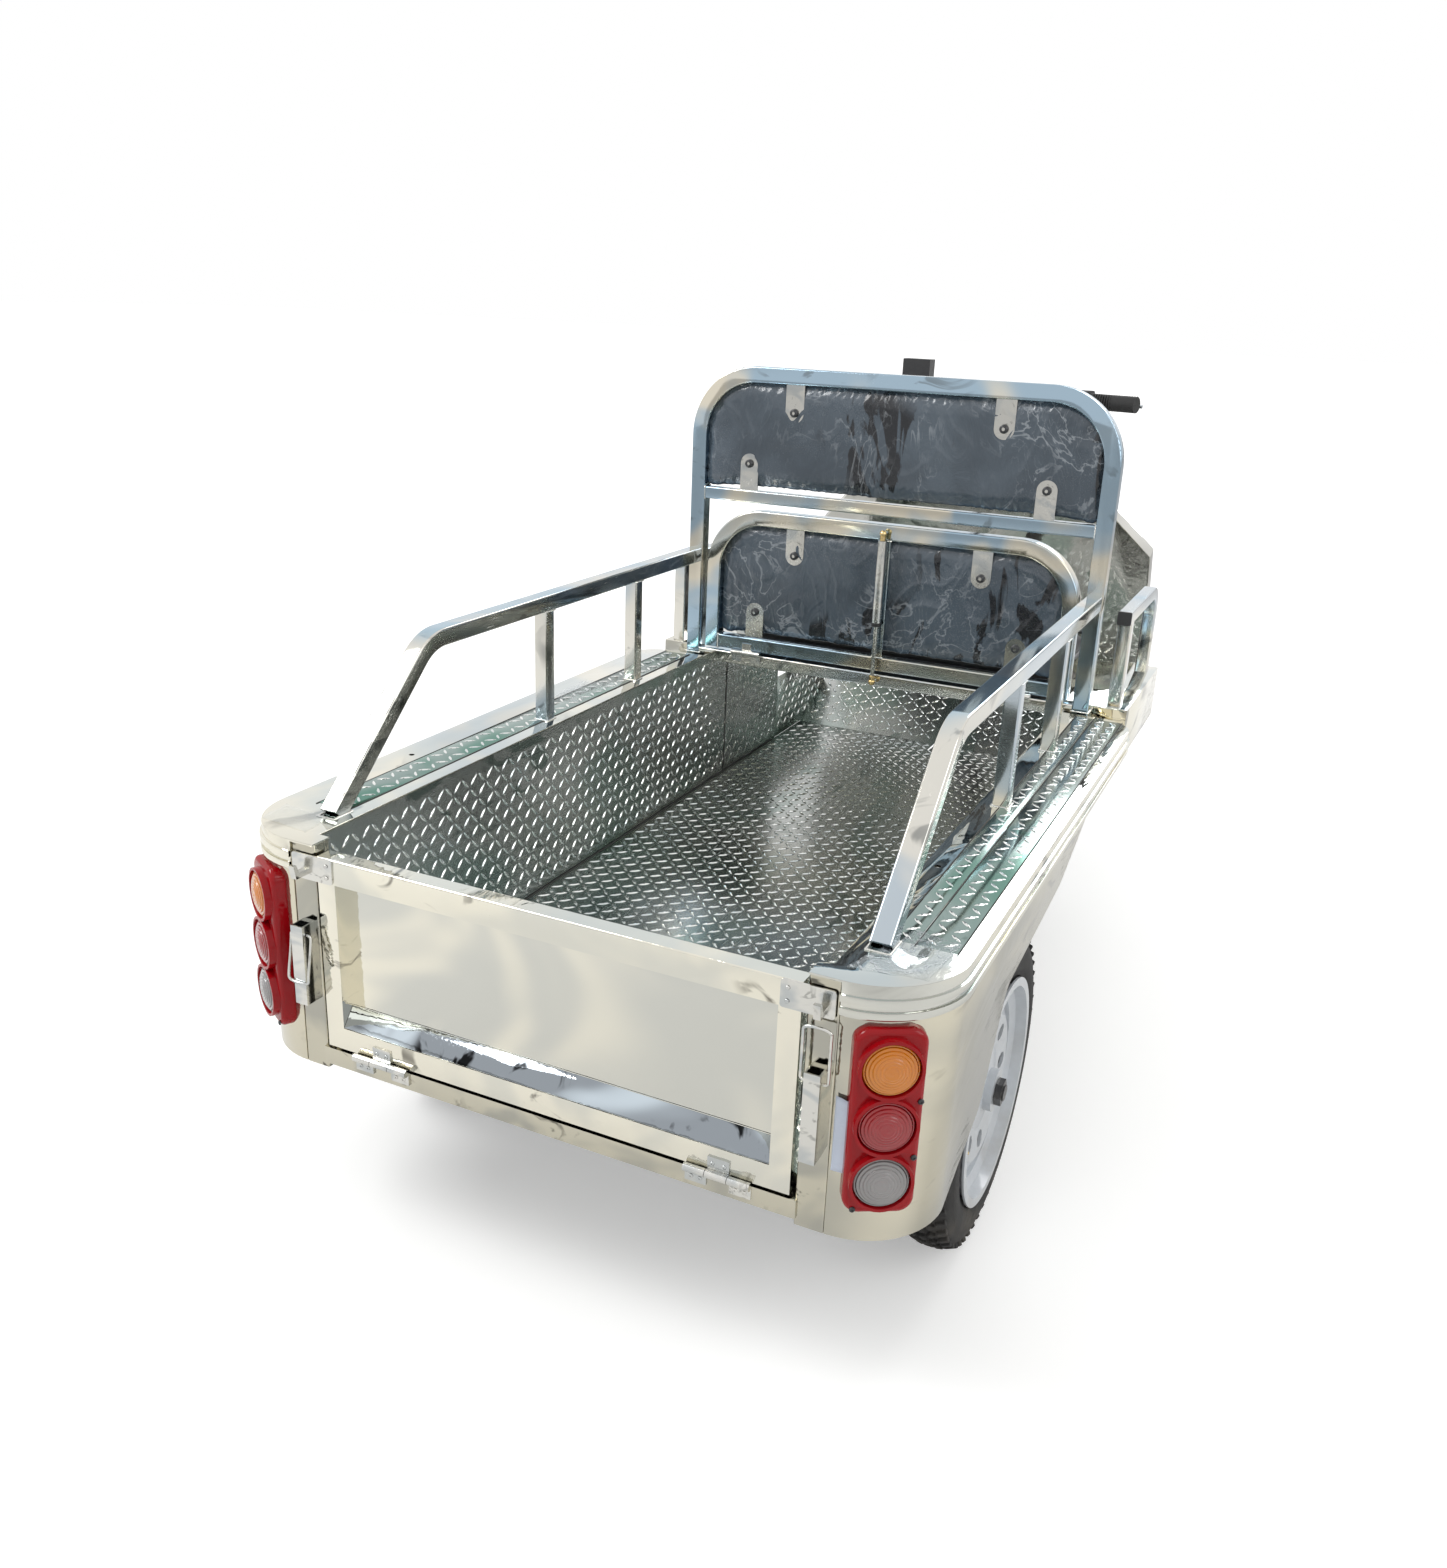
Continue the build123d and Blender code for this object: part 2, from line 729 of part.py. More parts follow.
# Fold hinges: knuckles behind the bar, leaves up onto the hoop and down onto the bar
fold_axis_at = hoop_at - hoop_tube / 2 - hinge_barrel / 2 - 0.5
fold_axis_z = bar_top + fold_lift / 2
fold_knuckle = fold_hinge_length / 3


def fold_leaf_part(moving):
    """Leaves and knuckles of one half of the fold hinges."""
    offsets = (0.0,) if moving else (-fold_knuckle, fold_knuckle)
    direction = 1 if moving else -1
    width = fold_knuckle - 2 * knuckle_gap
    seat_face = hoop_at - rail_tube / 2 if moving else bar_rear
    with BuildPart() as leaves:
        for centre in (-fold_hinge_spacing / 2, fold_hinge_spacing / 2):
            for step in offsets:
                at_x = centre + step
                with BuildSketch(Plane.YZ.offset(at_x - width / 2)):
                    with Locations((fwd(fold_axis_at), fold_axis_z)):
                        Circle(hinge_barrel / 2)
                extrude(amount=width)
                with BuildSketch(Plane.XZ.offset(-fwd(seat_face))):
                    with Locations((at_x, fold_axis_z + direction * 10.0)):
                        Rectangle(width, 18.0)
                extrude(amount=hinge_leaf + seat_face - bar_rear)
    return leaves.part


save(fold_leaf_part(True), "fold_hinge_upper")
save(fold_leaf_part(False), "fold_hinge_lower")


def padded_board(half_width, low, high, corner, front_at, thick):
    """Plain padded board with rounded top corners and softened faces."""
    with BuildPart() as board:
        with BuildSketch(Plane.XZ.offset(-fwd(front_at))) as face:
            with Locations((0, (low + high) / 2)):
                Rectangle(2 * half_width, high - low)
            fillet(face.vertices().group_by(Axis.Y)[-1], radius=corner)
            fillet(face.vertices().group_by(Axis.Y)[0], radius=14.0)
        extrude(amount=-thick)
        fillet(board.faces().filter_by(Axis.Y).edges(), radius=6.0)
    return board.part


upper_low = deck_top + crossbar_height + crossbar_tube / 2 + pad_clear
upper_high = deck_top + hoop_height - hoop_tube - pad_clear
upper_half = hoop_inner - pad_clear
save(
    padded_board(upper_half, upper_low, upper_high, hoop_bend - hoop_tube, hoop_at - 6, pad_thick),
    "back_pad",
)
lower_low = fold_low + hoop_tube + pad_clear
lower_high = fold_low + fold_height - hoop_tube - pad_clear
lower_half = fold_inner - pad_clear
save(
    padded_board(lower_half, lower_low, lower_high, fold_bend - hoop_tube, hoop_at - 3, pad_thick),
    "fold_pad",
)


def pad_tabs(places, face_at):
    """Round-ended tabs behind a padded board, each with a bolt head."""
    with BuildPart() as tabs:
        for across, height, direction in places:
            with BuildSketch(Plane.XZ.offset(-fwd(face_at))):
                with Locations((across, height)):
                    Circle(tab_width / 2)
                with Locations((across, height + direction * tab_length / 2)):
                    Rectangle(tab_width, tab_length)
            extrude(amount=tab_sheet)
            with BuildSketch(Plane.XZ.offset(-fwd(face_at - tab_sheet))):
                with Locations((across, height)):
                    Circle(bolt_head / 2)
            extrude(amount=bolt_rise)
    return tabs.part


upper_tab_z = upper_high + pad_clear - tab_length
lower_tab_z = upper_low - pad_clear + tab_length
upper_places = (
    (-205.0, upper_tab_z, 1),
    (205.0, upper_tab_z, 1),
    (-295.0, lower_tab_z, -1),
    (295.0, lower_tab_z, -1),
)
save(pad_tabs(upper_places, hoop_at - 6), "back_pad_tabs")
fold_upper_z = lower_high + pad_clear - tab_length
fold_lower_z = lower_low - pad_clear + tab_length
fold_places = (
    (-190.0, fold_upper_z, 1),
    (190.0, fold_upper_z, 1),
    (-270.0, fold_lower_z, -1),
    (270.0, fold_lower_z, -1),
)
save(pad_tabs(fold_places, hoop_at - 3), "fold_pad_tabs")


# Gas strut: cylinder hung from the fold hoop's top, rod down to the hinge bar
strut_top_z = fold_crown
with BuildPart() as strut_cylinder:
    with BuildSketch(Plane.XY.offset(strut_top_z - strut_cylinder_length)):
        with Locations((0, fwd(strut_at))):
            Circle(strut_cylinder_d / 2)
    extrude(amount=strut_cylinder_length - strut_ball_d)
    with BuildSketch(Plane.XY.offset(strut_top_z - strut_cylinder_length)):
        with Locations((0, fwd(strut_at))):
            Circle(strut_rod_d / 2 + strut_clear)
    extrude(amount=strut_cylinder_length - strut_ball_d - 12, mode=Mode.SUBTRACT)
    with BuildSketch(Plane.XY.offset(strut_top_z - strut_ball_d - 3)):
        with Locations((0, fwd(strut_at))):
            Circle(strut_rod_d / 2)
    extrude(amount=strut_ball_d)
    with Locations((0, fwd(strut_at), strut_top_z)):
        Sphere(strut_ball_d / 2)
save(strut_cylinder.part, "strut_cylinder")
with BuildPart() as strut_rod:
    with BuildSketch(Plane.XY.offset(strut_low_z)):
        with Locations((0, fwd(strut_at))):
            Circle(strut_rod_d / 2)
    extrude(amount=strut_top_z - strut_ball_d - 50 - strut_low_z)
    with Locations((0, fwd(strut_at), strut_low_z)):
        Sphere(strut_ball_d / 2)
save(strut_rod.part, "strut_rod")

# Seat base: board over the bed walls with a turned-down box each side for the armrests
seat_rear = hoop_at + hoop_tube / 2
side_box_rear = deck_front + front_corner
with BuildPart() as seat_base:
    with BuildSketch(Plane.XY.offset(deck_under)):
        with Locations((0, fwd((seat_rear + seat_front) / 2))):
            Rectangle(2 * seat_side_half, seat_front - seat_rear)
    extrude(amount=seat_board)
    for side in (-1, 1):
        inner_x = tub_half + tub_sheet
        with BuildSketch(Plane.XY.offset(deck_under - seat_side_drop)):
            with Locations((side * (seat_side_half + inner_x) / 2, fwd((seat_rear + seat_front) / 2))):
                Rectangle(seat_side_half - inner_x, seat_front - seat_rear)
                Rectangle(
                    seat_side_half - inner_x - 2 * sheet, seat_front - seat_rear - 2 * sheet, mode=Mode.SUBTRACT
                )
        extrude(amount=seat_side_drop)
save(seat_base.part, "seat_base")
seat_top = deck_under + seat_board
with BuildPart() as seat_cushion:
    with BuildSketch(Plane.XY.offset(seat_top)):
        with Locations((0, fwd((seat_rear + pad_thick + 12 + seat_front) / 2))):
            RectangleRounded(2 * hoop_inner - 60, seat_front - seat_rear - pad_thick - 12, 40.0)
    extrude(amount=seat_cushion_thick)
    fillet(seat_cushion.faces().sort_by(Axis.Z)[-1].edges(), radius=22.0)
save(seat_cushion.part, "seat_cushion")

# Armrests: square tube with an upright at the rear and a bend down at the front
arm_z = arm_top - arm_tube / 2
with BuildPart() as armrest_right_bar:
    with BuildSketch(Plane.XZ.offset(-fwd(arm_rear_at))):
        with Locations((arm_x, arm_z)):
            RectangleRounded(arm_tube, arm_tube, tube_edge)
    extrude(amount=-(arm_front_at - arm_rear_at - 60))
front_bend = swept_tube(
    (
        (arm_x, fwd(arm_front_at - 60.5), arm_z),
        (arm_x, fwd(arm_front_at), arm_z),
        (arm_x, fwd(arm_front_at), seat_top),
    ),
    55.0,
    arm_tube,
    (1, 0, 0),
)
with BuildPart() as armrest_right:
    add(armrest_right_bar.part)
    add(front_bend)
    with BuildSketch(Plane.XY.offset(seat_top)):
        with Locations((arm_x, fwd(seat_rear + arm_tube / 2 + 8))):
            RectangleRounded(arm_tube, arm_tube, tube_edge)
    extrude(amount=arm_z - seat_top)
with BuildPart() as armrests:
    add(armrest_right.part)
    mirror(armrest_right.part, about=Plane.YZ)
save(armrests.part, "armrests")
with BuildPart() as armrest_caps:
    for side in (-1, 1):
        with BuildSketch(Plane.XZ.offset(-fwd(arm_rear_at))):
            with Locations((side * arm_x, arm_z)):
                RectangleRounded(arm_tube, arm_tube, tube_edge)
        extrude(amount=cap_depth)
save(armrest_caps.part, "armrest_caps")

# Chassis frame: two rails, cross members, a raked down tube and the head tube
steer_up = Vector(0, -sin(radians(rake)), cos(radians(rake)))
steer_out = Vector(0, cos(radians(rake)), sin(radians(rake)))
head_foot = Vector(0, fwd(head_at(head_low)), head_low)
head_crown = Vector(0, fwd(head_at(head_high)), head_high)
head_shell = straight_rod(head_foot, head_crown, head_tube_d)
head_bore = straight_rod(head_foot - steer_up * 20, head_crown + steer_up * 20, head_bore_d)
members_at = (60.0, 200.0, 700.0, 830.0, 1110.0, 1260.0, front_member_at)
with BuildPart() as chassis_frame:
    for side in (-1, 1):
        with BuildSketch(Plane.XZ.offset(-fwd(post_depth + 4))):
            with Locations((side * chassis_rail_x, frame_mid)):
                RectangleRounded(chassis_tube_w, chassis_tube_h, tube_edge)
        extrude(amount=-(front_member_at - post_depth - 4))
    for along in members_at:
        with BuildSketch(Plane.YZ.offset(-tub_half)):
            with Locations((fwd(along), frame_mid)):
                RectangleRounded(chassis_tube_w, chassis_tube_h, tube_edge)
        extrude(amount=2 * tub_half)
    add(down_tube)
    add(head_shell)
    add(head_bore, mode=Mode.SUBTRACT)
save(chassis_frame.part, "chassis_frame")

# Rear axle: tube, gear housing, spring pads, stub axles and hub nuts
stub_d = 24.0
hub_inner = 30.0
hub_outer = 38.0
wheel_x = track / 2
axle_end = wheel_x - hub_inner - 14
nut_d = 40.0
pad_low = tyre_radius - axle_tube_d / 2 - 6
with BuildPart() as rear_axle:
    with BuildSketch(Plane.YZ.offset(-axle_end)):
        with Locations((fwd(rear_axle_at), tyre_radius)):
            Circle(axle_tube_d / 2)
    extrude(amount=2 * axle_end)
    with BuildSketch(Plane.YZ.offset(-diff_width / 2)):
        with Locations((fwd(rear_axle_at), tyre_radius)):
            Circle(diff_d / 2)
    extrude(amount=diff_width)
    fillet(rear_axle.edges().filter_by(GeomType.CIRCLE).filter_by(lambda e: abs(e.radius - diff_d / 2) < 1), radius=16.0)
    with BuildSketch(Plane.YZ.offset(-(wheel_x + hub_outer + 13))):
        with Locations((fwd(rear_axle_at), tyre_radius)):
            Circle(stub_d / 2)
    extrude(amount=2 * (wheel_x + hub_outer + 13))
    for side in (-1, 1):
        with BuildSketch(Plane.YZ.offset(side * (wheel_x + hub_outer + 0.5))):
            with Locations((fwd(rear_axle_at), tyre_radius)):
                RegularPolygon(nut_d / 2, 6)
        extrude(amount=side * 10.0)
        with Locations((side * spring_x, fwd(rear_axle_at), (pad_low + 0.3 + tyre_radius) / 2)):
            Box(spring_width, 50, tyre_radius - pad_low - 0.3)
save(rear_axle.part, "rear_axle")

# Drive motor on the front of the gear housing
motor_rear_at = rear_axle_at + diff_d / 2 - 10
with BuildPart() as drive_motor:
    with BuildSketch(Plane.XZ.offset(-fwd(motor_rear_at + 10))):
        with Locations((0, tyre_radius - 8)):
            Circle(motor_d / 2)
    extrude(amount=-motor_length)
    for band in (0.25, 0.5, 0.75):
        with BuildSketch(Plane.XZ.offset(-fwd(motor_rear_at + 10 + band * motor_length))):
            with Locations((0, tyre_radius - 8)):
                Circle(motor_d / 2 + 1)
                Circle(motor_d / 2 - 4, mode=Mode.SUBTRACT)
        extrude(amount=-8, mode=Mode.SUBTRACT)
save(drive_motor.part, "drive_motor")

# Leaf springs: stacked leaves of falling length with an eye at each end
spring_rise = 34.0
spring_half = spring_span / 2
leaf_radius = (spring_half**2 + spring_rise**2) / (2 * spring_rise)
eye_d = 22.0
pin_d = 10.0
eye_z = pad_low + spring_rise + 2
with BuildPart() as leaf_springs:
    for side in (-1, 1):
        with BuildSketch(Plane.YZ.offset(side * spring_x - spring_width / 2)):
            for leaf in range(spring_leaves):
                inner = leaf_radius + leaf * spring_leaf
                with BuildSketch(Plane.XY, mode=Mode.PRIVATE) as strip:
                    with Locations((fwd(rear_axle_at), pad_low + leaf_radius)):
                        Circle(inner + spring_leaf)
                        Circle(inner, mode=Mode.SUBTRACT)
                    with Locations((fwd(rear_axle_at), pad_low)):
                        Rectangle(2 * spring_half * (1 - 0.22 * leaf), 4 * spring_rise, mode=Mode.INTERSECT)
                add(strip.sketch)
            for end in (-1, 1):
                with Locations((fwd(rear_axle_at + end * spring_half), eye_z)):
                    Circle(eye_d / 2)
            for end in (-1, 1):
                with Locations((fwd(rear_axle_at + end * spring_half), eye_z)):
                    Circle(pin_d / 2 + 0.3, mode=Mode.SUBTRACT)
        extrude(amount=spring_width)
save(leaf_springs.part, "leaf_springs")

# Spring hangers: two cheeks and a pin under the chassis rails at each eye
cheek = 4.0
with BuildPart() as spring_hangers:
    for side in (-1, 1):
        for end in (-1, 1):
            pin_y = fwd(rear_axle_at + end * spring_half)
            for cheek_side in (-1, 1):
                cheek_x = side * spring_x + cheek_side * (spring_width / 2 + 0.5 + cheek / 2)
                with Locations((cheek_x, pin_y, (frame_low + eye_z - 14) / 2)):
                    Box(cheek, 34, frame_low - eye_z + 14)
            with BuildSketch(Plane.YZ.offset(side * spring_x - spring_width / 2 - cheek)):
                with Locations((pin_y, eye_z)):
                    Circle(pin_d / 2)
            extrude(amount=spring_width + 2 * cheek)
save(spring_hangers.part, "spring_hangers")

# U-bolts clamp the leaves to the axle
clamp_low = pad_low - spring_leaves * spring_leaf
bolt_d = 8.0
with BuildPart() as spring_clamps:
    for side in (-1, 1):
        with Locations((side * spring_x, fwd(rear_axle_at), clamp_low - 3)):
            Box(spring_width + 26, 74, 6)
        for edge in (-1, 1):
            x = side * spring_x + edge * (spring_width / 2 + bolt_d / 2 + 1)
            reach = axle_tube_d / 2 + bolt_d / 2 + 0.5
            with BuildLine():
                hoop = FilletPolyline(
                    (x, fwd(rear_axle_at) - reach, clamp_low - 14),
                    (x, fwd(rear_axle_at) - reach, tyre_radius + reach),
                    (x, fwd(rear_axle_at) + reach, tyre_radius + reach),
                    (x, fwd(rear_axle_at) + reach, clamp_low - 14),
                    radius=reach * 0.98,
                )
            with BuildSketch(Plane(origin=hoop @ 0, z_dir=hoop % 0)):
                Circle(bolt_d / 2)
            sweep()
save(spring_clamps.part, "spring_clamps")

# Battery in its tray under the floor, ahead of the axle
battery_long, battery_wide, battery_tall = battery_size
battery_top = frame_low - 8
tray_low = battery_top - battery_tall - sheet
with BuildPart() as battery_block:
    with BuildSketch(Plane.XY.offset(battery_top - battery_tall)):
        with Locations((0, fwd(battery_rear_at + battery_long / 2))):
            RectangleRounded(battery_wide, battery_long, 10.0)
    extrude(amount=battery_tall)
save(battery_block.part, "battery_block")
with BuildPart() as battery_tray:
    with BuildSketch(Plane.XZ.offset(-fwd(battery_rear_at - sheet))):
        with BuildLine():
            Polyline(
                (-battery_wide / 2 - 34, frame_low), (-battery_wide / 2 - 34, frame_low - sheet),
                (-battery_wide / 2 - sheet, frame_low - sheet), (-battery_wide / 2 - sheet, tray_low),
                (battery_wide / 2 + sheet, tray_low), (battery_wide / 2 + sheet, frame_low - sheet),
                (battery_wide / 2 + 34, frame_low - sheet), (battery_wide / 2 + 34, frame_low),
                (battery_wide / 2, frame_low), (battery_wide / 2, tray_low + sheet),
                (-battery_wide / 2, tray_low + sheet), (-battery_wide / 2, frame_low), close=True,
            )
        make_face()
    extrude(amount=-(battery_long + 2 * sheet))
save(battery_tray.part, "battery_tray")


def wheel_plane(centre):
    """Upright plane through a wheel's axle, radius upward."""
    return Plane(origin=centre, x_dir=(1, 0, 0), z_dir=(0, -1, 0))


def tyre(centre):
    """Tyre revolved from its cross-section: beads, sidewalls and a crowned tread."""
    half = tyre_width / 2
    seat = rim_radius + 0.3
    with BuildPart() as ring:
        with BuildSketch(wheel_plane(centre)):
            with BuildLine():
                Polyline((half - 1.3, seat + 10), (half - 1.3, seat), (22, seat - 3), (-22, seat - 3),
                         (-half + 1.3, seat), (-half + 1.3, seat + 10))
                ThreePointArc((-half + 1.3, seat + 10), (-half, seat + 32), (-half + 5, tyre_radius - 14))
                Line((-half + 5, tyre_radius - 14), (-half + 14, tyre_radius - 4))
                ThreePointArc((-half + 14, tyre_radius - 4), (0, tyre_radius), (half - 14, tyre_radius - 4))
                Line((half - 14, tyre_radius - 4), (half - 5, tyre_radius - 14))
                ThreePointArc((half - 5, tyre_radius - 14), (half, seat + 32), (half - 1.3, seat + 10))
            make_face()
        revolve(axis=Axis(centre, (1, 0, 0)))
    return ring.part


def rim(centre, outward):
    """Pressed rim with its well, dished disc, hub and hand holes; outward is the open side."""
    side = outward
    lip = tyre_width / 2 - 1
    with BuildPart() as disc:
        with BuildSketch(wheel_plane(centre)):
            with BuildLine():
                Polyline(
                    (-lip - 3, rim_radius + 10), (-lip, rim_radius + 10), (-lip, rim_radius), (-22, rim_radius - 3),
                    (-16, rim_radius - 18), (16, rim_radius - 18), (22, rim_radius - 3), (lip, rim_radius),
                    (lip, rim_radius + 10), (lip + 3, rim_radius + 10), (lip + 3, rim_radius - 3),
                    (25, rim_radius - 6), (19, rim_radius - 21), (side * 12, rim_radius - 21),
                    (side * 24, 108), (side * 20, 62), (side * 26, hub_d / 2), (side * hub_outer, hub_d / 2),
                    (side * hub_outer, stub_d / 2 + 0.5), (-side * hub_inner, stub_d / 2 + 0.5),
                    (-side * hub_inner, hub_d / 2), (side * 20, hub_d / 2), (side * 15, 62), (side * 19, 108),
                    (side * 6, rim_radius - 21), (-19, rim_radius - 21), (-25, rim_radius - 6),
                    (-lip - 3, rim_radius - 3), close=True,
                )
            make_face()
        revolve(axis=Axis(centre, (1, 0, 0)))
        with Locations(Plane(origin=centre, x_dir=(0, 1, 0), z_dir=(1, 0, 0))):
            with PolarLocations(86, 8):
                Hole(13)
    return disc.part


wheels = (
    ("rear_left", (-wheel_x, fwd(rear_axle_at), tyre_radius), -1),
    ("rear_right", (wheel_x, fwd(rear_axle_at), tyre_radius), 1),
    ("front", (0, fwd(front_axle_at), tyre_radius), 1),
)
for place, centre, outward in wheels:
    save(tyre(centre), f"tyre_{place}")
    save(rim(centre, outward), f"rim_{place}")

# Fork: crown under the head tube, two telescopic legs, axle and steering stem
axle_centre = Vector(0, fwd(front_axle_at), tyre_radius)
crown_top = head_foot - steer_up * 0.3
crown_thick = 28.0
axis_foot = axle_centre - steer_out * fork_offset
crown_rise = (crown_top - axis_foot).dot(steer_up)
slider_d = 42.0
crown_clamp_d = 50.0
slider_length = 190.0
stem_d = 34.0
stem_top = 1062.0
with BuildPart() as fork:
    with BuildSketch(Plane(origin=crown_top - steer_up * crown_thick, x_dir=(1, 0, 0), z_dir=steer_up)):
        with BuildSketch(Plane.XY, mode=Mode.PRIVATE) as clamps:
            with Locations((0, 0), (-fork_leg_x, fork_offset), (fork_leg_x, fork_offset)):
                Circle(crown_clamp_d / 2)
        make_hull(clamps.edges())
    extrude(amount=crown_thick)
    for side in (-1, 1):
        leg_foot = axle_centre + Vector(side * fork_leg_x, 0, 0)
        with BuildSketch(Plane(origin=leg_foot, x_dir=(1, 0, 0), z_dir=steer_up)):
            Circle(fork_leg_d / 2)
        extrude(amount=crown_rise - crown_thick / 2)
        with BuildSketch(Plane(origin=leg_foot - steer_up * 24, x_dir=(1, 0, 0), z_dir=steer_up)):
            Circle(slider_d / 2)
        extrude(amount=slider_length)
    with BuildSketch(Plane.YZ.offset(-fork_leg_x - slider_d / 2 - 12)):
        with Locations((fwd(front_axle_at), tyre_radius)):
            Circle(stub_d / 2)
    extrude(amount=2 * (fork_leg_x + slider_d / 2 + 12))
    with BuildSketch(Plane(origin=crown_top, x_dir=(1, 0, 0), z_dir=steer_up)):
        Circle(steerer_d / 2)
    extrude(amount=(head_crown - crown_top).length + 0.3)
    with BuildSketch(Plane(origin=head_crown + steer_up * 0.3, x_dir=(1, 0, 0), z_dir=steer_up)):
        Circle(head_tube_d / 2)
    extrude(amount=16.0)
    with BuildSketch(Plane(origin=head_crown + steer_up * 10, x_dir=(1, 0, 0), z_dir=steer_up)):
        Circle(stem_d / 2)
    extrude(amount=(stem_top - head_high) / cos(radians(rake)) - 10)
save(fork.part, "fork")

# Handlebar: raised ends with grips and control pods
bar_centre_z = stem_top + bar_d / 2
bar_y = fwd(head_at(bar_centre_z))
grip_in = grip_half - 130.0
handlebar_path = (
    (-grip_half, bar_y - 70, grip_height),
    (-grip_in, bar_y - 30, grip_height),
    (-95, bar_y, bar_centre_z),
    (95, bar_y, bar_centre_z),
    (grip_in, bar_y - 30, grip_height),
    (grip_half, bar_y - 70, grip_height),
)
handlebar_tube = round_tube(handlebar_path, 42.0, bar_d)
with BuildPart() as handlebar:
    add(handlebar_tube)
    with Locations(Location((0, bar_y, bar_centre_z), (-rake, 0, 0))):
        Box(56, 40, 44)
    clamp_seat = Plane(
        origin=(0, fwd(head_at(stem_top)), stem_top), x_dir=(1, 0, 0), z_dir=steer_up
    )
    split(bisect_by=clamp_seat, keep=Keep.TOP)
save(handlebar.part, "handlebar")
grip_left = (Vector(*handlebar_path[0]), Vector(*handlebar_path[1]))
grip_right = (Vector(*handlebar_path[5]), Vector(*handlebar_path[4]))
with BuildPart() as hand_grips:
    for tip, inner_end in (grip_left, grip_right):
        along = (inner_end - tip).normalized()
        with BuildSketch(Plane(origin=tip - along * 4, z_dir=along)):
            Circle(17.0)
        extrude(amount=108.0)
    add(handlebar_tube, mode=Mode.SUBTRACT)
save(hand_grips.part, "hand_grips")
with BuildPart() as control_pods:
    for tip, inner_end in (grip_left, grip_right):
        along = (inner_end - tip).normalized()
        with BuildSketch(Plane(origin=tip + along * 106, x_dir=(0, 0, 1), z_dir=along)):
            RectangleRounded(44, 40, 8.0)
        extrude(amount=34.0)
    with Locations((-grip_in + 40, bar_y - 24, grip_height + 37)):
        Box(64, 38, 62)
    add(handlebar_tube, mode=Mode.SUBTRACT)
save(control_pods.part, "control_pods")

# Front mudguard over the wheel, bracketed to the fork legs
guard_inner = tyre_radius + mudguard_gap
guard_half = fork_leg_x - fork_leg_d / 2 - 3
with BuildPart() as front_mudguard:
    with BuildSketch(Plane.YZ.offset(-guard_half)):
        with BuildLine():
            rear_angle, front_angle = radians(172), radians(38)
            outer_r = guard_inner + mudguard_sheet
            mid = (rear_angle + front_angle) / 2
            centre_y = fwd(front_axle_at)

            def at(radius, angle):
                return (centre_y + radius * cos(angle), tyre_radius + radius * sin(angle))

            ThreePointArc(at(outer_r, rear_angle), at(outer_r, mid), at(outer_r, front_angle))
            Line(at(outer_r, front_angle), at(guard_inner, front_angle))
            ThreePointArc(at(guard_inner, front_angle), at(guard_inner, mid), at(guard_inner, rear_angle))
            Line(at(guard_inner, rear_angle), at(outer_r, rear_angle))
        make_face()
    extrude(amount=2 * guard_half)
    bracket = axle_centre + steer_up * (guard_inner + mudguard_sheet / 2)
    for side in (-1, 1):
        with Locations((side * (guard_half + 1.5), bracket.Y, bracket.Z)):
            Box(3.0, 26, 14)
save(front_mudguard.part, "front_mudguard")

# Leg shield on the toe board's end, square to the steering axis
shield_plane = Plane(origin=(0, fwd(toe_end), shield_low), x_dir=(-1, 0, 0), z_dir=steer_out)
slope = cos(radians(rake))
shield_corners = (
    (shield_foot_half, 0.0),
    (shield_half, 48.0),
    (shield_half, (800 - shield_low) / slope),
    (shield_top_half, (shield_high - shield_low) / slope),
)
outline = shield_corners + tuple((-x, y) for x, y in reversed(shield_corners))
with BuildPart() as leg_shield:
    with BuildSketch(shield_plane) as face:
        with BuildLine():
            Polyline(*outline, close=True)
        make_face()
        fillet(face.vertices().group_by(Axis.Y)[-1], radius=60.0)
    extrude(amount=sheet)
    with BuildSketch(shield_plane) as rim_band:
        with BuildLine():
            Polyline(*outline, close=True)
        make_face()
        fillet(rim_band.vertices().group_by(Axis.Y)[-1], radius=60.0)
        offset(amount=-sheet, mode=Mode.SUBTRACT)
        with Locations((0, 0)):
            Rectangle(2 * tub_half + 2, 20, mode=Mode.SUBTRACT)
    extrude(amount=-shield_flange)
    add(down_room, mode=Mode.SUBTRACT)
save(leg_shield.part, "leg_shield")


def cowl_block(shrink):
    """Tapered nose block in front of the shield, drawn in by a wall."""
    base = Plane(
        origin=shield_plane.origin + steer_up * ((cowl_low - shield_low) / slope) + steer_out * sheet,
        x_dir=(1, 0, 0),
        z_dir=steer_up,
    )
    half, deep = cowl_half - shrink, cowl_depth - shrink
    with BuildPart() as block:
        with BuildSketch(base) as plan:
            with BuildLine():
                Polyline((-half, 0), (-half + 24, deep * 0.72), (-half + 74, deep), (half - 74, deep),
                         (half - 24, deep * 0.72), (half, 0), close=True)
            make_face()
            fillet(plan.vertices().group_by(Axis.Y)[-1], radius=26.0)
        extrude(amount=(cowl_high - cowl_low) / slope)
    return block.part


cowl_solid = cowl_block(0.0)
cowl_room = cowl_block(sheet)
with BuildPart() as nose_cowl:
    add(cowl_solid)
    add(cowl_room, mode=Mode.SUBTRACT)
save(nose_cowl.part, "nose_cowl")

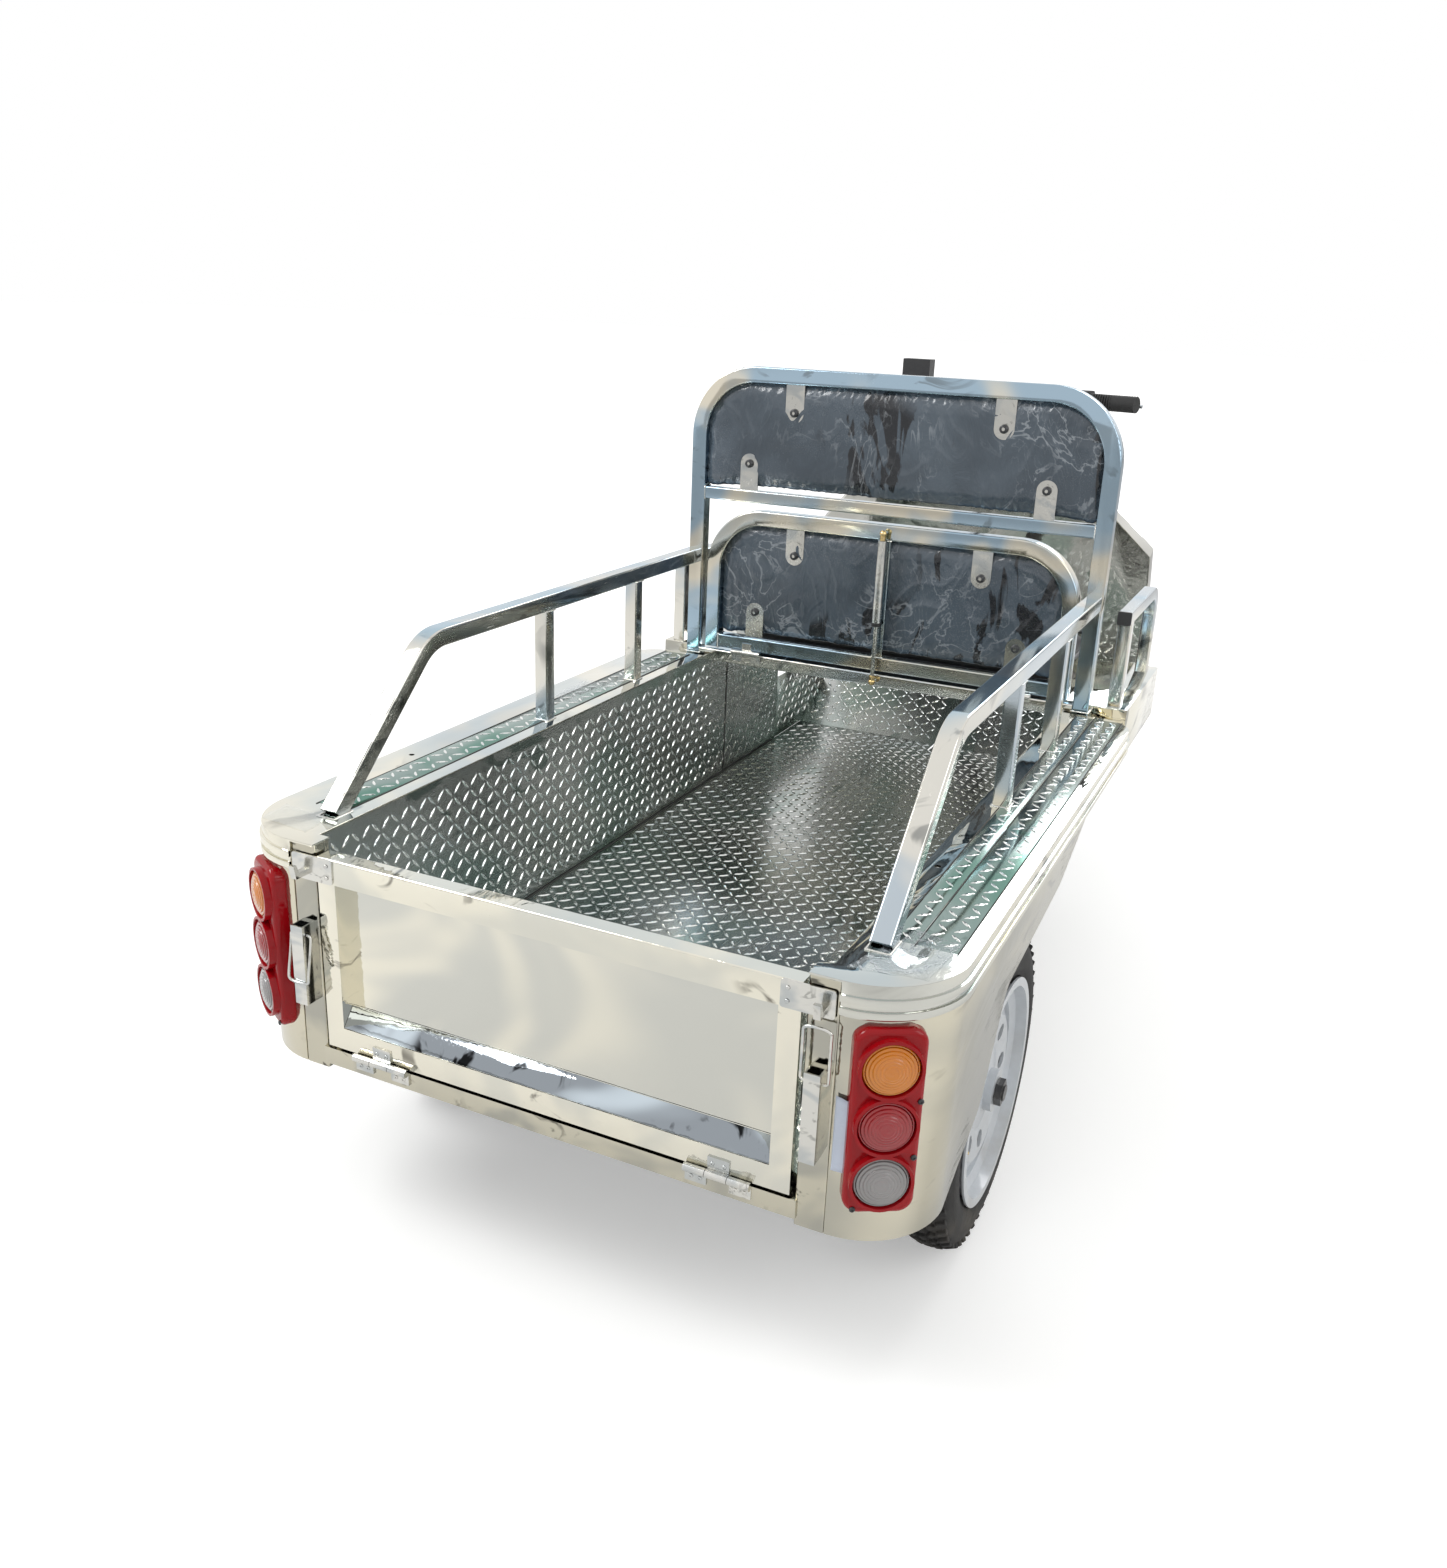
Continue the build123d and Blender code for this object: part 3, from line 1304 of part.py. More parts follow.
# Headlamp on the cowl and two round indicators on the shield
lamp_z = (cowl_low + cowl_high) / 2 + 10
lamp_front = head_at(lamp_z) + cowl_depth - shield_back / slope + 70
with BuildPart() as headlamp_shell:
    with BuildSketch(Plane.XZ.offset(-fwd(lamp_front - 130))):
        with Locations((0, lamp_z)):
            Circle(lamp_d / 2)
    extrude(amount=-130)
    fillet(headlamp_shell.faces().sort_by(Axis.Y)[-1].edges(), radius=6.0)
    with BuildSketch(Plane.XZ.offset(-fwd(lamp_front - 8))):
        with Locations((0, lamp_z)):
            Circle(lamp_d / 2 - 10)
    extrude(amount=-9, mode=Mode.SUBTRACT)
    add(cowl_solid, mode=Mode.SUBTRACT)
save(headlamp_shell.part, "headlamp_shell")
with BuildPart() as headlamp_lens:
    with BuildSketch(Plane.XZ.offset(-fwd(lamp_front - 8))):
        with Locations((0, lamp_z)):
            Circle(lamp_d / 2 - 10)
    extrude(amount=-12)
    fillet(headlamp_lens.faces().sort_by(Axis.Y)[-1].edges(), radius=9.0)
save(headlamp_lens.part, "headlamp_lens")
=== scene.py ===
"""Looks of the electric cargo tricycle: polished stainless body, tread-plate bed and film-wrapped back pads.

Metres. X is the vehicle's right, Y is forward and Z is up from the ground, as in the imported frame.
"""
import json
import logging
import math
from dataclasses import dataclass
from enum import Enum
from typing import Callable, Iterable, Sequence, Union

import bmesh
import bpy
from mathutils import Euler, Matrix, Vector, noise


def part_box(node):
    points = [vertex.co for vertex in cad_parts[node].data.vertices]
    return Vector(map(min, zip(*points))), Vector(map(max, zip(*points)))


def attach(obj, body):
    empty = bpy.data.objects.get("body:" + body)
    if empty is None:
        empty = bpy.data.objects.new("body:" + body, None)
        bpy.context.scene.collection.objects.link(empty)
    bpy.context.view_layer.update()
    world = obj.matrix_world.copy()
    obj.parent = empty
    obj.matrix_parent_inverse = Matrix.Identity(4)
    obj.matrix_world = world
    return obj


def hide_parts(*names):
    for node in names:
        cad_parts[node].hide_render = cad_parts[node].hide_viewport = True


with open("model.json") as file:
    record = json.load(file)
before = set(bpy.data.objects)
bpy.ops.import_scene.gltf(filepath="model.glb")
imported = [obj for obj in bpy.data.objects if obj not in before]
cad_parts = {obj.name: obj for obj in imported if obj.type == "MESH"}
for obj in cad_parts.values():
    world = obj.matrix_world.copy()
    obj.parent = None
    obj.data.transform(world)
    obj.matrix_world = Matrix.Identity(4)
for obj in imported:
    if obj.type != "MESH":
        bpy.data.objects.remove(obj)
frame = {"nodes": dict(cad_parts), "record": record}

LOG = logging.getLogger("cargo_tricycle")
MM = 0.001
REAR_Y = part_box("tailgate_frame")[0][1]
Point = tuple[float, float, float]
Colour = tuple[float, float, float]
Spot = tuple[Point, Point]
Value = Union[bpy.types.NodeSocket, float, Sequence[float]]
REARWARD = (math.pi / 2, 0, 0)
FORWARD = (-math.pi / 2, 0, 0)

DECK_TOP = 0.597
COAT_ROUGHNESS = 0.06
LENS_TRANSMISSION = 0.35
LENS_IOR = 1.49
# Share of the painted fold highlights on the wrapped board
BOARD_HIGHLIGHT_SHARE = 0.38
# Polished steel's own brightness, with a painted warm reflection in its tint
STEEL_AND_WARM_REFLECTION = (0.84, 0.805, 0.69)
# Painted sky reflection: the blue mixed into polished metal on faces that look up
PAINTED_SKY_REFLECTION = (0.34, 0.50, 0.62)
ROAD_DUST = (0.33, 0.29, 0.23)
# Colour of the painted highlights along the film's folds
PAINTED_FOLD_HIGHLIGHT = (0.62, 0.66, 0.70)


def ahead(distance_mm: float) -> float:
    """Y of a place this many millimetres forward of the tailgate's rear face."""
    return REAR_Y + distance_mm * MM


class Side(Enum):
    """The vehicle's two sides, with the sign of X on each."""

    LEFT = -1
    RIGHT = 1


class Surface(Enum):
    """Kinds of surface that share one way of building a material."""

    SHEET = "polished sheet"
    TUBE = "polished tube"
    TREAD = "tread plate"
    PAINT = "paint"
    PLASTIC = "moulded plastic"
    RUBBER = "rubber"
    VINYL = "vinyl"
    WRAP = "film over board"
    FILM = "clear film"
    LENS = "lamp lens"
    CAST = "cast metal"


class Graph:
    """Adds and links nodes in one node tree."""

    def __init__(self, tree: bpy.types.NodeTree) -> None:
        """Keeps the tree.

        Args:
            tree: The shader or geometry tree that gets the nodes.
        """
        self.tree = tree

    def add(self, kind: str, settings: dict | None = None, **inputs: Value) -> bpy.types.Node:
        """Adds one node, with its settings and its inputs by name.

        Args:
            kind: The node's type name.
            settings: Attributes of the node itself.
            inputs: Values or sockets for inputs, with _ for a space.

        Returns:
            The new node.
        """
        node = self.tree.nodes.new(kind)
        for name, value in (settings or {}).items():
            setattr(node, name, value)
        for name, value in inputs.items():
            self.feed(node.inputs[name.replace("_", " ")], value)
        return node

    def feed(self, socket: bpy.types.NodeSocket, value: Value) -> None:
        """Links a socket, or sets its own value.

        Args:
            socket: The input.
            value: A socket to link, or a plain value.
        """
        if isinstance(value, bpy.types.NodeSocket):
            self.tree.links.new(value, socket)
        else:
            socket.default_value = value

    def math(self, operation: str, *values: Value, clamp: bool = False) -> bpy.types.NodeSocket:
        """A Math node.

        Args:
            operation: Its operation.
            values: Sockets or numbers, in order.
            clamp: Whether the result stays from 0 to 1.

        Returns:
            Its value.
        """
        node = self.add("ShaderNodeMath", {"operation": operation, "use_clamp": clamp})
        for socket, value in zip(node.inputs, values):
            self.feed(socket, value)
        return node.outputs[0]

    def mix(self, factor: Value, first: Value, second: Value) -> bpy.types.NodeSocket:
        """Mixes two colours.

        Args:
            factor: How much of the second.
            first: First colour.
            second: Second colour.

        Returns:
            The mixed colour.
        """
        node = self.add("ShaderNodeMix", {"data_type": "RGBA"})
        for index, value in ((0, factor), (6, rgba(first)), (7, rgba(second))):
            self.feed(node.inputs[index], value)
        return node.outputs[2]

    def span(self, value: Value, low: Value, high: Value, to_low: float = 0.0,
             to_high: float = 1.0) -> bpy.types.NodeSocket:
        """Maps a value from one span to another, smoothly and clamped.

        Args:
            value: The socket to map.
            low: Value that gives to_low.
            high: Value that gives to_high.
            to_low: Lowest result.
            to_high: Highest result.

        Returns:
            The mapped value.
        """
        node = self.add("ShaderNodeMapRange", {"interpolation_type": "SMOOTHSTEP"})
        for index, item in enumerate((value, low, high, to_low, to_high)):
            self.feed(node.inputs[index], item)
        return node.outputs[0]

    def noise(self, vector: Value, scale: Value, detail: float = 3.0,
              distortion: float = 0.0) -> bpy.types.NodeSocket:
        """A Noise Texture's value.

        Args:
            vector: Where it is read.
            scale: Its scale.
            detail: Its octaves.
            distortion: How much it swirls.

        Returns:
            A value near 0.5.
        """
        node = self.add("ShaderNodeTexNoise", Vector=vector, Scale=scale, Detail=detail,
                        Distortion=distortion)
        return node.outputs[0]

    def stretch(self, vector: Value, scale: Sequence[float],
                turn: Sequence[float] = (0, 0, 0)) -> bpy.types.NodeSocket:
        """A Mapping node that stretches and turns a pattern.

        Args:
            vector: Coordinates.
            scale: Scale on each axis.
            turn: Turn about each axis, radians.

        Returns:
            The mapped coordinates.
        """
        return self.add("ShaderNodeMapping", Vector=vector, Scale=scale, Rotation=turn).outputs[0]


def rgba(value: Value) -> Value:
    """A colour with alpha, or a socket as it is."""
    return (*value, 1.0) if isinstance(value, (tuple, list)) and len(value) == 3 else value


def make_group(name: str, inputs: Sequence[tuple], outputs: Sequence[tuple],
               fill: Callable) -> bpy.types.NodeTree:
    """Builds a shader node group with named inputs and outputs.

    Args:
        name: The group's name.
        inputs: Name, socket type and default of each input.
        outputs: Name and socket type of each output.
        fill: Adds the nodes; gets the graph and the input sockets, and returns the output sockets.

    Returns:
        The group.
    """
    tree = bpy.data.node_groups.new(name, "ShaderNodeTree")
    for title, kind, default in inputs:
        socket = tree.interface.new_socket(title, in_out="INPUT", socket_type=kind)
        socket.default_value = default
    for title, kind in outputs:
        tree.interface.new_socket(title, in_out="OUTPUT", socket_type=kind)
    graph = Graph(tree)
    entry = graph.add("NodeGroupInput")
    results = fill(graph, {item[0]: entry.outputs[item[0]] for item in inputs})
    leave = graph.add("NodeGroupOutput")
    for (title, _), socket in zip(outputs, results):
        graph.feed(leave.inputs[title], socket)
    return tree


def fill_reflections(graph: Graph, sockets: dict) -> tuple:
    """Painted reflections: broad soft patches of warm, cool and dark, painted into the base colour as
    polished sheet reflects them.

    Args:
        graph: The group's graph.
        sockets: Its input sockets by name.

    Returns:
        The colour and the bump height.
    """
    where = graph.stretch(sockets["Vector"], (1.0, 0.55, 1.5), (0.1, 0.2, 0.3))
    broad = graph.noise(where, sockets["Scale"], 2.0, 1.4)
    fine = graph.noise(where, graph.math("MULTIPLY", sockets["Scale"], 3.1), 3.0, 2.2)
    colour = graph.mix(graph.span(broad, 0.44, 0.62), sockets["Warm"], sockets["Cool"])
    # painted dark reflections where the fine pattern is high and the broad one low
    dark = graph.span(fine, 0.56, 0.66)
    dark = graph.math("MULTIPLY", dark, graph.span(broad, 0.50, 0.36))
    colour = graph.mix(graph.math("MULTIPLY", dark, sockets["Dark Share"]), colour, sockets["Dark"])
    return colour, graph.math("ADD", broad, graph.math("MULTIPLY", fine, 0.35))


def fill_scuffs(graph: Graph, sockets: dict) -> tuple:
    """Fine rubbed lines and hazy handling marks.

    Args:
        graph: The group's graph.
        sockets: Its input sockets by name.

    Returns:
        The mask of the lines and the roughness.
    """
    lines = graph.noise(graph.stretch(sockets["Vector"], (60.0, 4.0, 60.0), (0.0, 0.0, 0.4)), 6.0, 2.0)
    haze = graph.noise(sockets["Vector"], 7.0, 4.0)
    mask = graph.math("MULTIPLY", graph.span(lines, 0.52, 0.75), graph.span(haze, 0.45, 0.7))
    rough = graph.math("ADD", sockets["Roughness"], graph.math("MULTIPLY", mask, sockets["Amount"]))
    rough = graph.math("ADD", rough, graph.math("MULTIPLY", graph.span(haze, 0.5, 0.8), 0.06))
    return mask, rough


def fill_dust(graph: Graph, sockets: dict) -> tuple:
    """Road dust that lies thicker near the ground.

    Args:
        graph: The group's graph.
        sockets: Its input sockets by name.

    Returns:
        The mask of the dust.
    """
    height = graph.add("ShaderNodeSeparateXYZ", Vector=sockets["Vector"]).outputs[2]
    low = graph.span(height, sockets["Top"], sockets["Bottom"])
    patches = graph.span(graph.noise(sockets["Vector"], 14.0, 6.0), 0.40, 0.72)
    return (graph.math("MULTIPLY", graph.math("MULTIPLY", low, patches), sockets["Amount"], clamp=True),)


def fill_crinkle(graph: Graph, sockets: dict) -> tuple:
    """Crinkled film: long sharp folds with painted highlights along them, and patches where the film lies
    tight and dark.

    Args:
        graph: The group's graph.
        sockets: Its input sockets by name.

    Returns:
        Masks of the painted fold highlights and the tight patches, and the bump height.
    """
    where = graph.stretch(sockets["Vector"], (1.0, 1.0, 0.8), (0.0, 0.5, 0.0))
    folds = graph.noise(where, sockets["Scale"], 5.0, 2.8)
    ridge = graph.math("SUBTRACT", 1.0,
                       graph.math("ABSOLUTE", graph.math("MULTIPLY_ADD", folds, 6.0, -3.0)))
    fine = graph.noise(graph.stretch(sockets["Vector"], (1.0, 1.0, 0.45)),
                       graph.math("MULTIPLY", sockets["Scale"], 2.3), 4.0, 3.4)
    fine_ridge = graph.math("SUBTRACT", 1.0,
                            graph.math("ABSOLUTE", graph.math("MULTIPLY_ADD", fine, 9.0, -4.5)))
    area = graph.span(graph.noise(sockets["Vector"], 5.0, 3.0, 0.8), 0.42, 0.62)
    # painted highlights along the fold ridges, in the area mask
    painted_highlight = graph.math("MULTIPLY", graph.span(ridge, 0.86, 0.99), area)
    small = graph.math("MULTIPLY", graph.span(fine_ridge, 0.90, 1.0), area)
    painted_highlight = graph.math("ADD", graph.math("MULTIPLY", painted_highlight, 0.8), graph.math("MULTIPLY", small, 0.35),
                        clamp=True)
    tight = graph.noise(graph.stretch(sockets["Vector"], (1.0, 1.0, 0.35)), 13.0, 4.0, 1.2)
    tight = graph.math("MULTIPLY", graph.span(tight, 0.55, 0.58),
                       graph.span(graph.noise(sockets["Vector"], 3.4, 1.0), 0.50, 0.56))
    height = graph.math("ADD", graph.math("MULTIPLY", folds, 0.7), graph.math("MULTIPLY", fine_ridge, 0.12))
    return painted_highlight, tight, height


def fill_grain(graph: Graph, sockets: dict) -> tuple:
    """Moulded or embossed grain.

    Args:
        graph: The group's graph.
        sockets: Its input sockets by name.

    Returns:
        The bump height and a soft mask.
    """
    cells = graph.add("ShaderNodeTexVoronoi", {"feature": "DISTANCE_TO_EDGE"}, Vector=sockets["Vector"],
                      Scale=sockets["Scale"])
    height = graph.span(cells.outputs["Distance"], 0.0, 0.12)
    soft = graph.noise(sockets["Vector"], graph.math("MULTIPLY", sockets["Scale"], 0.1), 3.0)
    return height, soft


COLOUR_IN = "NodeSocketColor"
VALUE_IN = "NodeSocketFloat"
VECTOR_IN = "NodeSocketVector"


def make_effects() -> dict[str, bpy.types.NodeTree]:
    """Builds the shared effect groups once.

    Returns:
        Groups by name.
    """
    where = ("Vector", VECTOR_IN, (0.0, 0.0, 0.0))
    return {
        # Painted reflections of polished metal: Warm, Cool and Dark are reflected colours painted into the
        # base colour
        "reflections": make_group(
            "reflections",
            (where, ("Scale", VALUE_IN, 3.0), ("Warm", COLOUR_IN, (0.8, 0.76, 0.66, 1)),
             ("Cool", COLOUR_IN, (0.7, 0.72, 0.72, 1)),
             ("Dark", COLOUR_IN, (0.1, 0.1, 0.09, 1)), ("Dark Share", VALUE_IN, 0.5)),
            (("Colour", COLOUR_IN), ("Height", VALUE_IN)), fill_reflections),
        "scuffs": make_group(
            "scuffs", (where, ("Roughness", VALUE_IN, 0.1), ("Amount", VALUE_IN, 0.2)),
            (("Mask", VALUE_IN), ("Roughness", VALUE_IN)), fill_scuffs),
        "dust": make_group(
            "dust", (where, ("Top", VALUE_IN, 0.5), ("Bottom", VALUE_IN, 0.0), ("Amount", VALUE_IN, 0.4)),
            (("Mask", VALUE_IN),), fill_dust),
        "crinkle": make_group(
            "crinkle", (where, ("Scale", VALUE_IN, 9.0)),
            (("Streak", VALUE_IN), ("Tight", VALUE_IN), ("Height", VALUE_IN)), fill_crinkle),
        "grain": make_group(
            "grain", (where, ("Scale", VALUE_IN, 400.0)), (("Height", VALUE_IN), ("Soft", VALUE_IN)),
            fill_grain),
    }


@dataclass(frozen=True)
class Finish:
    """One finish: its surface kind and the values that make it this object's own."""

    name: str
    surface: Surface
    # For metal, colour, second and dark are painted reflections, and dark_share is the share of painted dark
    # reflection; for film, dark is where it lies tight
    colour: Colour
    second: Colour = (0.5, 0.5, 0.5)
    dark: Colour = (0.08, 0.08, 0.075)
    dark_share: float = 0.5
    roughness: float = 0.3
    scale: float = 3.0
    bump: float = 0.1
    bump_depth: float = 0.001
    coat: float = 0.0
    dust: float = 0.0
    dust_top: float = 0.5
    alpha: float = 1.0
    # Share of painted sky reflection on faces of metal that look up
    painted_sky: float = 0.0
    specular: float = 0.5

    def build(self, effects: dict[str, bpy.types.NodeTree]) -> bpy.types.Material:
        """Builds the material.

        Args:
            effects: The shared effect groups.

        Returns:
            The material.
        """
        material = bpy.data.materials.new(self.name)
        material.use_nodes = True
        graph = Graph(material.node_tree)
        shader = material.node_tree.nodes["Principled BSDF"]
        where = graph.add("ShaderNodeTexCoord").outputs["Object"]
        metal = self.surface in (Surface.SHEET, Surface.TUBE, Surface.TREAD, Surface.CAST)
        shader.inputs["Metallic"].default_value = 1.0 if metal else 0.0
        if self.coat:
            shader.inputs["Coat Weight"].default_value = self.coat
            shader.inputs["Coat Roughness"].default_value = COAT_ROUGHNESS
        if metal:
            colour, height = self._metal_colour(graph, effects, where)
        elif self.surface in (Surface.WRAP, Surface.FILM):
            colour, height = self._film_colour(graph, effects, where, shader)
        else:
            colour, height = self._plain_colour(graph, effects, where)
        scuffs = graph.add("ShaderNodeGroup", {"node_tree": effects["scuffs"]}, Vector=where,
                           Roughness=self.roughness)
        graph.feed(shader.inputs["Roughness"], scuffs.outputs["Roughness"])
        if self.dust:
            dust = graph.add("ShaderNodeGroup", {"node_tree": effects["dust"]}, Vector=where,
                             Top=self.dust_top, Amount=self.dust)
            colour = graph.mix(dust.outputs["Mask"], colour, ROAD_DUST)
        graph.feed(shader.inputs["Base Color"], rgba(colour))
        bump = graph.add("ShaderNodeBump", Strength=self.bump, Distance=self.bump_depth, Height=height)
        graph.feed(shader.inputs["Normal"], bump.outputs[0])
        shader.inputs["Specular IOR Level"].default_value = self.specular
        if self.surface is Surface.LENS:
            shader.inputs["Transmission Weight"].default_value = LENS_TRANSMISSION
            shader.inputs["IOR"].default_value = LENS_IOR
        return material

    def _metal_colour(self, graph: Graph, effects: dict, where: Value) -> tuple:
        """Colour and bump height of a metal, with painted reflections and a painted sky reflection on faces
        that look up.

        Args:
            graph: The material's graph.
            effects: The shared effect groups.
            where: Object coordinates.

        Returns:
            The colour and height sockets.
        """
        patches = graph.add(
            "ShaderNodeGroup", {"node_tree": effects["reflections"]}, Vector=where, Scale=self.scale,
            Warm=rgba(self.colour), Cool=rgba(self.second), Dark=rgba(self.dark),
            Dark_Share=self.dark_share)
        colour = patches.outputs["Colour"]
        # painted sky reflection: blue mixed into faces that look up
        if self.painted_sky:
            normal = graph.add("ShaderNodeNewGeometry").outputs["Normal"]
            up = graph.add("ShaderNodeSeparateXYZ", Vector=normal).outputs[2]
            mottle = graph.span(graph.noise(where, 5.0, 2.0, 0.8), 0.34, 0.62)
            share = graph.math("MULTIPLY", graph.span(up, 0.75, 0.98), mottle)
            colour = graph.mix(graph.math("MULTIPLY", share, self.painted_sky), colour, PAINTED_SKY_REFLECTION)
        return colour, patches.outputs["Height"]

    def _film_colour(self, graph: Graph, effects: dict, where: Value, shader: bpy.types.Node) -> tuple:
        """Colour and bump height of crinkled film with painted highlights along its folds, and its alpha
        where it is clear.

        Args:
            graph: The material's graph.
            effects: The shared effect groups.
            where: Object coordinates.
            shader: The material's shader, which gets the alpha.

        Returns:
            The colour and height sockets.
        """
        crinkle = graph.add("ShaderNodeGroup", {"node_tree": effects["crinkle"]}, Vector=where,
                            Scale=self.scale)
        cloud = graph.span(graph.noise(where, 6.0, 5.0, 0.6), 0.35, 0.7)
        colour = graph.mix(cloud, self.colour, self.second)
        colour = graph.mix(crinkle.outputs["Tight"], colour, self.dark)
        # painted fold highlights mixed into the colour; clear film also turns opaque along them
        painted_highlight = graph.math("MULTIPLY", crinkle.outputs["Streak"], 1.0 if self.surface is Surface.FILM
                            else BOARD_HIGHLIGHT_SHARE)
        colour = graph.mix(painted_highlight, colour, PAINTED_FOLD_HIGHLIGHT)
        if self.surface is Surface.FILM:
            see = graph.math("MULTIPLY_ADD", crinkle.outputs["Streak"], 0.75, self.alpha, clamp=True)
            graph.feed(shader.inputs["Alpha"], see)
        return colour, crinkle.outputs["Height"]

    def _plain_colour(self, graph: Graph, effects: dict, where: Value) -> tuple:
        """Colour and bump height of paint, plastic, rubber, vinyl or a lens.

        Args:
            graph: The material's graph.
            effects: The shared effect groups.
            where: Object coordinates.

        Returns:
            The colour and height sockets.
        """
        grain = graph.add("ShaderNodeGroup", {"node_tree": effects["grain"]}, Vector=where,
                          Scale=self.scale)
        colour = graph.mix(grain.outputs["Soft"], self.colour, self.second)
        return colour, grain.outputs["Height"]


